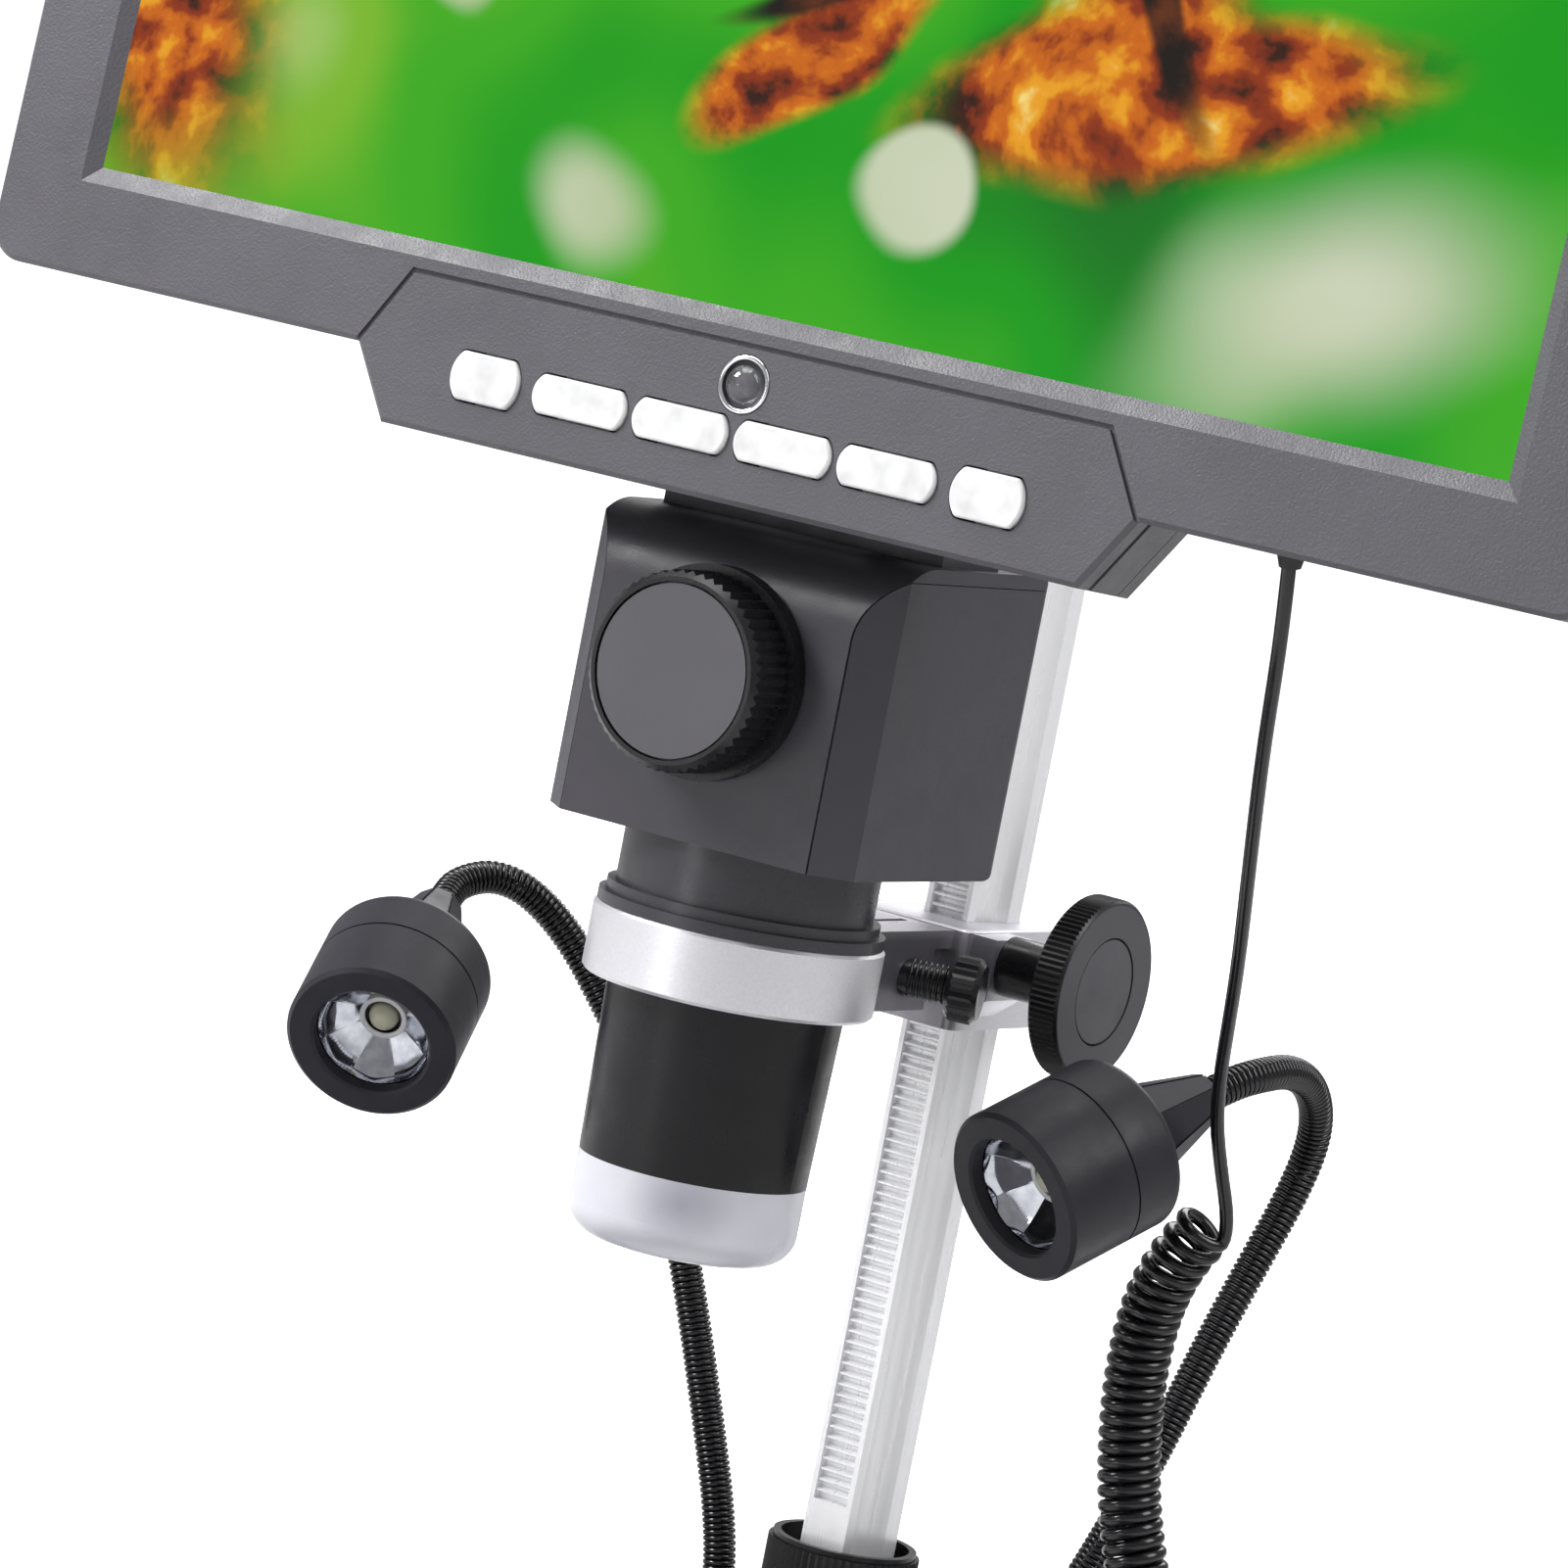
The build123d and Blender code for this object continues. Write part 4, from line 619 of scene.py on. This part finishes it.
# ------------------------------------------------------------ corrugated necks
neck_ways = {
    "left": [
        (-0.0706, 0.0296, 0.1208), (-0.0761, 0.0427, 0.1283), (-0.0759, 0.0470, 0.1303),
        (-0.0737, 0.0514, 0.1314), (-0.0696, 0.0554, 0.1298), (-0.0641, 0.0597, 0.1242),
        (-0.0582, 0.0633, 0.1155), (-0.0513, 0.0658, 0.1056), (-0.0444, 0.0676, 0.0928),
        (-0.0374, 0.0700, 0.0736), (-0.0314, 0.0716, 0.0560), (-0.0280, 0.0722, 0.0460),
        (-0.0258, 0.0724, 0.0370), (-0.0250, 0.0724, 0.0238), (-0.0250, 0.0724, 0.0150),
    ],
    "right": [
        (0.0452, 0.0405, 0.1229), (0.0497, 0.0542, 0.1299), (0.0514, 0.0605, 0.1316),
        (0.0513, 0.0695, 0.1320), (0.0508, 0.0773, 0.1297), (0.0502, 0.0827, 0.1253),
        (0.0492, 0.0853, 0.1196), (0.0474, 0.0852, 0.1117), (0.0450, 0.0830, 0.1020),
        (0.0424, 0.0795, 0.0897), (0.0386, 0.0760, 0.0715), (0.0336, 0.0738, 0.0550),
        (0.0294, 0.0729, 0.0445), (0.0264, 0.0725, 0.0360), (0.0250, 0.0724, 0.0238),
        (0.0250, 0.0724, 0.0150),
    ],
}
ridge_pitch = 0.00090
ridge_turn_radius, ridge_radius = 0.00206, 0.00044
for side, way in neck_ways.items():
    length = length_of(read_line(way, guide_detail))
    track = spline_of("track", way, guide_detail)
    neck = ring(ridge_turn_radius, ridge_radius, 22, 8)
    repeat(neck, ridge_pitch, int(length / ridge_pitch))
    bend = neck.modifiers.new("bend", "CURVE")
    bend.object = track
    bend.deform_axis = "POS_Z"
    apply_all(neck)
    bpy.data.objects.remove(track)
    settle(neck, "corrugated_neck_" + side, "lamp_" + side, neck_black, smooth=60)
    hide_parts("gooseneck_" + side)


# ------------------------------------------------------------ lamp reflectors and their light chips
lamp_faces = {"left": (-0.0624, 0.0100, 0.1097), "right": (0.0386, 0.0200, 0.1123)}
lamp_backs = {"left": (-0.342, 0.817, 0.464), "right": (0.277, 0.854, 0.440)}
cup_mouth, cup_throat, cup_depth = 0.0086, 0.0030, 0.0048
cup_start = 0.0024                # behind the lamp's face
cup_wall = 0.0003
cup_bulge = 0.22
petals, petal_fold = 8, 0.07
chip_radius, chip_behind, chip_cut = 0.0022, 0.0002, 0.0006
chip_ring_turn, chip_ring_radius, chip_ring_before, chip_ring_share = 0.0032, 0.0005, 0.0004, 0.6
for side, face in lamp_faces.items():
    back = Vector(lamp_backs[side]).normalized()
    facing = back.to_track_quat("Z", "Y").to_euler()
    body = "lamp_" + side

    def along(distance):
        return Vector(face) + back * distance

    nothing_selected()
    bpy.ops.mesh.primitive_cone_add(
        vertices=96, radius1=cup_mouth, radius2=cup_throat, depth=cup_depth, end_fill_type="NOTHING",
        location=along(cup_start + cup_depth / 2), rotation=facing)
    cup = bpy.context.object
    bpy.ops.object.mode_set(mode="EDIT")
    bpy.ops.mesh.select_all(action="SELECT")
    bpy.ops.mesh.subdivide(number_cuts=7)
    bpy.ops.object.mode_set(mode="OBJECT")
    for spot in cup.data.vertices:
        share = 0.5 - spot.co.z / cup_depth
        angle = math.atan2(spot.co.y, spot.co.x)
        bowl = 1 + cup_bulge * math.sin(math.pi * share)
        petal = 1 - petal_fold * math.sin(math.pi * share) * abs(math.cos(petals / 2 * angle))
        spot.co.x *= bowl * petal
        spot.co.y *= bowl * petal
    wall = cup.modifiers.new("wall", "SOLIDIFY")
    wall.thickness = cup_wall
    apply_all(cup)
    settle(cup, "lamp_reflector_" + side, body, cup_chrome, smooth=40)
    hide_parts("lamp_lens_" + side)

    chip = ball(chip_radius, 32, 16, along(cup_start + cup_depth + chip_behind), facing)
    halve(along(cup_start + cup_depth + chip_cut), back)
    settle(chip, "lamp_chip_" + side, body, chip_yellow, smooth=60)
    chip_ring = ring(chip_ring_turn, chip_ring_radius, 40, 10,
                     along(cup_start + cup_depth - chip_ring_before), facing)
    thin_along(chip_ring_share)
    settle(chip_ring, "lamp_chip_ring_" + side, body, stage_white, smooth=60)

# ------------------------------------------------------------ remote window: a chrome rim round a clear dome
window_rise = -0.0095
rim_turn_radius, rim_radius, rim_depth, rim_share = 0.0036, 0.00036, -0.0012, 0.7
dome_radius, dome_depth, dome_back = 0.0029, -0.0002, 0.0008
facing_user = (-screen_in).to_track_quat("Z", "Y").to_euler()
rim = ring(rim_turn_radius, rim_radius, 48, 10, on_screen(0, rim_depth, window_rise), facing_user)
thin_along(rim_share)
settle(rim, "window_rim", "display", chrome, smooth=60)
dome = ball(dome_radius, 40, 20, on_screen(0, dome_depth, window_rise), facing_user)
halve(on_screen(0, dome_back, window_rise), screen_in)
settle(dome, "window_dome", "display", lens_clear, smooth=60)

# ------------------------------------------------------------ thread of the clamp screw
screw_turn = math.radians(21)
screw_way = Vector((math.cos(screw_turn), math.sin(screw_turn), 0))
screw_start = Vector((0.0068, 0.0360, 0.1354))
thread_turn_radius, thread_radius = 0.00262, 0.00024
thread_pitch, thread_turns, thread_margin = 0.00080, 7, 0.0006
thread = ring(thread_turn_radius, thread_radius, 40, 8, screw_start + screw_way * thread_margin,
              screw_way.to_track_quat("Z", "Y").to_euler())
repeat(thread, thread_pitch, thread_turns)
apply_all(thread)
settle(thread, "screw_thread", "thumbscrew", knob_black, smooth=60)

# ------------------------------------------------------------ the cord made into a smooth mesh
take(cord)
bpy.ops.object.convert(target="MESH")
bpy.ops.object.shade_smooth()
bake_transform(cord)


# ------------------------------------------------------------ floor, light
def stage_floor():
    """A white floor that goes over into the white room away from the part."""
    floor_size, floor_below = 12, 0.0002
    glow_near, glow_far = 0.13, 0.30
    glow_least, glow_most = 0.42, 1.0
    nothing_selected()
    bpy.ops.mesh.primitive_plane_add(size=floor_size, location=(0, 0, -floor_below))
    floor = bpy.context.object
    floor.name = "floor"
    made, nodes, links, shader, where = surface("floor_white", (0.62, 0.62, 0.62), 0.8)
    reach = vector_step(nodes, links, "LENGTH", where).outputs["Value"]
    glow = nodes.new("ShaderNodeEmission")
    strength = ranged(nodes, links, reach, glow_near, glow_far, glow_least, glow_most)
    links.new(strength, glow.inputs["Strength"])
    seen = nodes.new("ShaderNodeAddShader")
    links.new(shader.outputs["BSDF"], seen.inputs[0])
    links.new(glow.outputs["Emission"], seen.inputs[1])
    ray = nodes.new("ShaderNodeLightPath")
    chosen = nodes.new("ShaderNodeMixShader")
    links.new(ray.outputs["Is Camera Ray"], chosen.inputs["Fac"])
    links.new(shader.outputs["BSDF"], chosen.inputs[1])
    links.new(seen.outputs["Shader"], chosen.inputs[2])
    links.new(chosen.outputs["Shader"], nodes["Material Output"].inputs["Surface"])
    floor.data.materials.append(made)


def white_world():
    """White where it is seen, and dimmer as a light."""
    fill_strength, seen_strength = 0.37, 1.0
    world = bpy.data.worlds.new("studio")
    bpy.context.scene.world = world
    world.use_nodes = True
    nodes, links = world.node_tree.nodes, world.node_tree.links
    fill = nodes["Background"]
    fill.inputs["Color"].default_value = (1, 1, 1, 1)
    fill.inputs["Strength"].default_value = fill_strength
    white = nodes.new("ShaderNodeBackground")
    white.inputs["Color"].default_value = (1, 1, 1, 1)
    white.inputs["Strength"].default_value = seen_strength
    ray = nodes.new("ShaderNodeLightPath")
    either = nodes.new("ShaderNodeMath")
    either.operation = "MAXIMUM"
    links.new(ray.outputs["Is Camera Ray"], either.inputs[0])
    links.new(ray.outputs["Is Transmission Ray"], either.inputs[1])
    chosen = nodes.new("ShaderNodeMixShader")
    links.new(either.outputs["Value"], chosen.inputs["Fac"])
    links.new(fill.outputs["Background"], chosen.inputs[1])
    links.new(white.outputs["Background"], chosen.inputs[2])
    links.new(chosen.outputs["Shader"], nodes["World Output"].inputs["Surface"])


def soft_lamp(name, place, target, size, power):
    data = bpy.data.lights.new(name, "AREA")
    data.shape = "RECTANGLE"
    data.size, data.size_y = size
    data.energy = power
    lamp = bpy.data.objects.new(name, data)
    bpy.context.collection.objects.link(lamp)
    lamp.location = place
    lamp.rotation_euler = (Vector(target) - Vector(place)).to_track_quat("-Z", "Y").to_euler()


stage_floor()
white_world()
part_middle, screen_left, tube_left = (0, 0, 0.15), (-0.06, 0, 0.19), (-0.05, 0, 0.11)
soft_lamp("key_light", (-0.78, -0.56, 0.94), screen_left, (0.50, 0.50), 17.5)
soft_lamp("side_light", (0.9, 0.1, 1.1), part_middle, (0.6, 0.9), 9)
soft_lamp("back_light", (-0.3, 1.2, 1.0), part_middle, (1.0, 0.6), 8)
soft_lamp("low_light", (-0.5, -1.3, 0.15), tube_left, (0.3, 0.3), 1.2)
soft_lamp("top_light", (-0.2, -0.1, 1.4), part_middle, (0.8, 0.8), 9)
bpy.context.scene.view_settings.view_transform = "Standard"
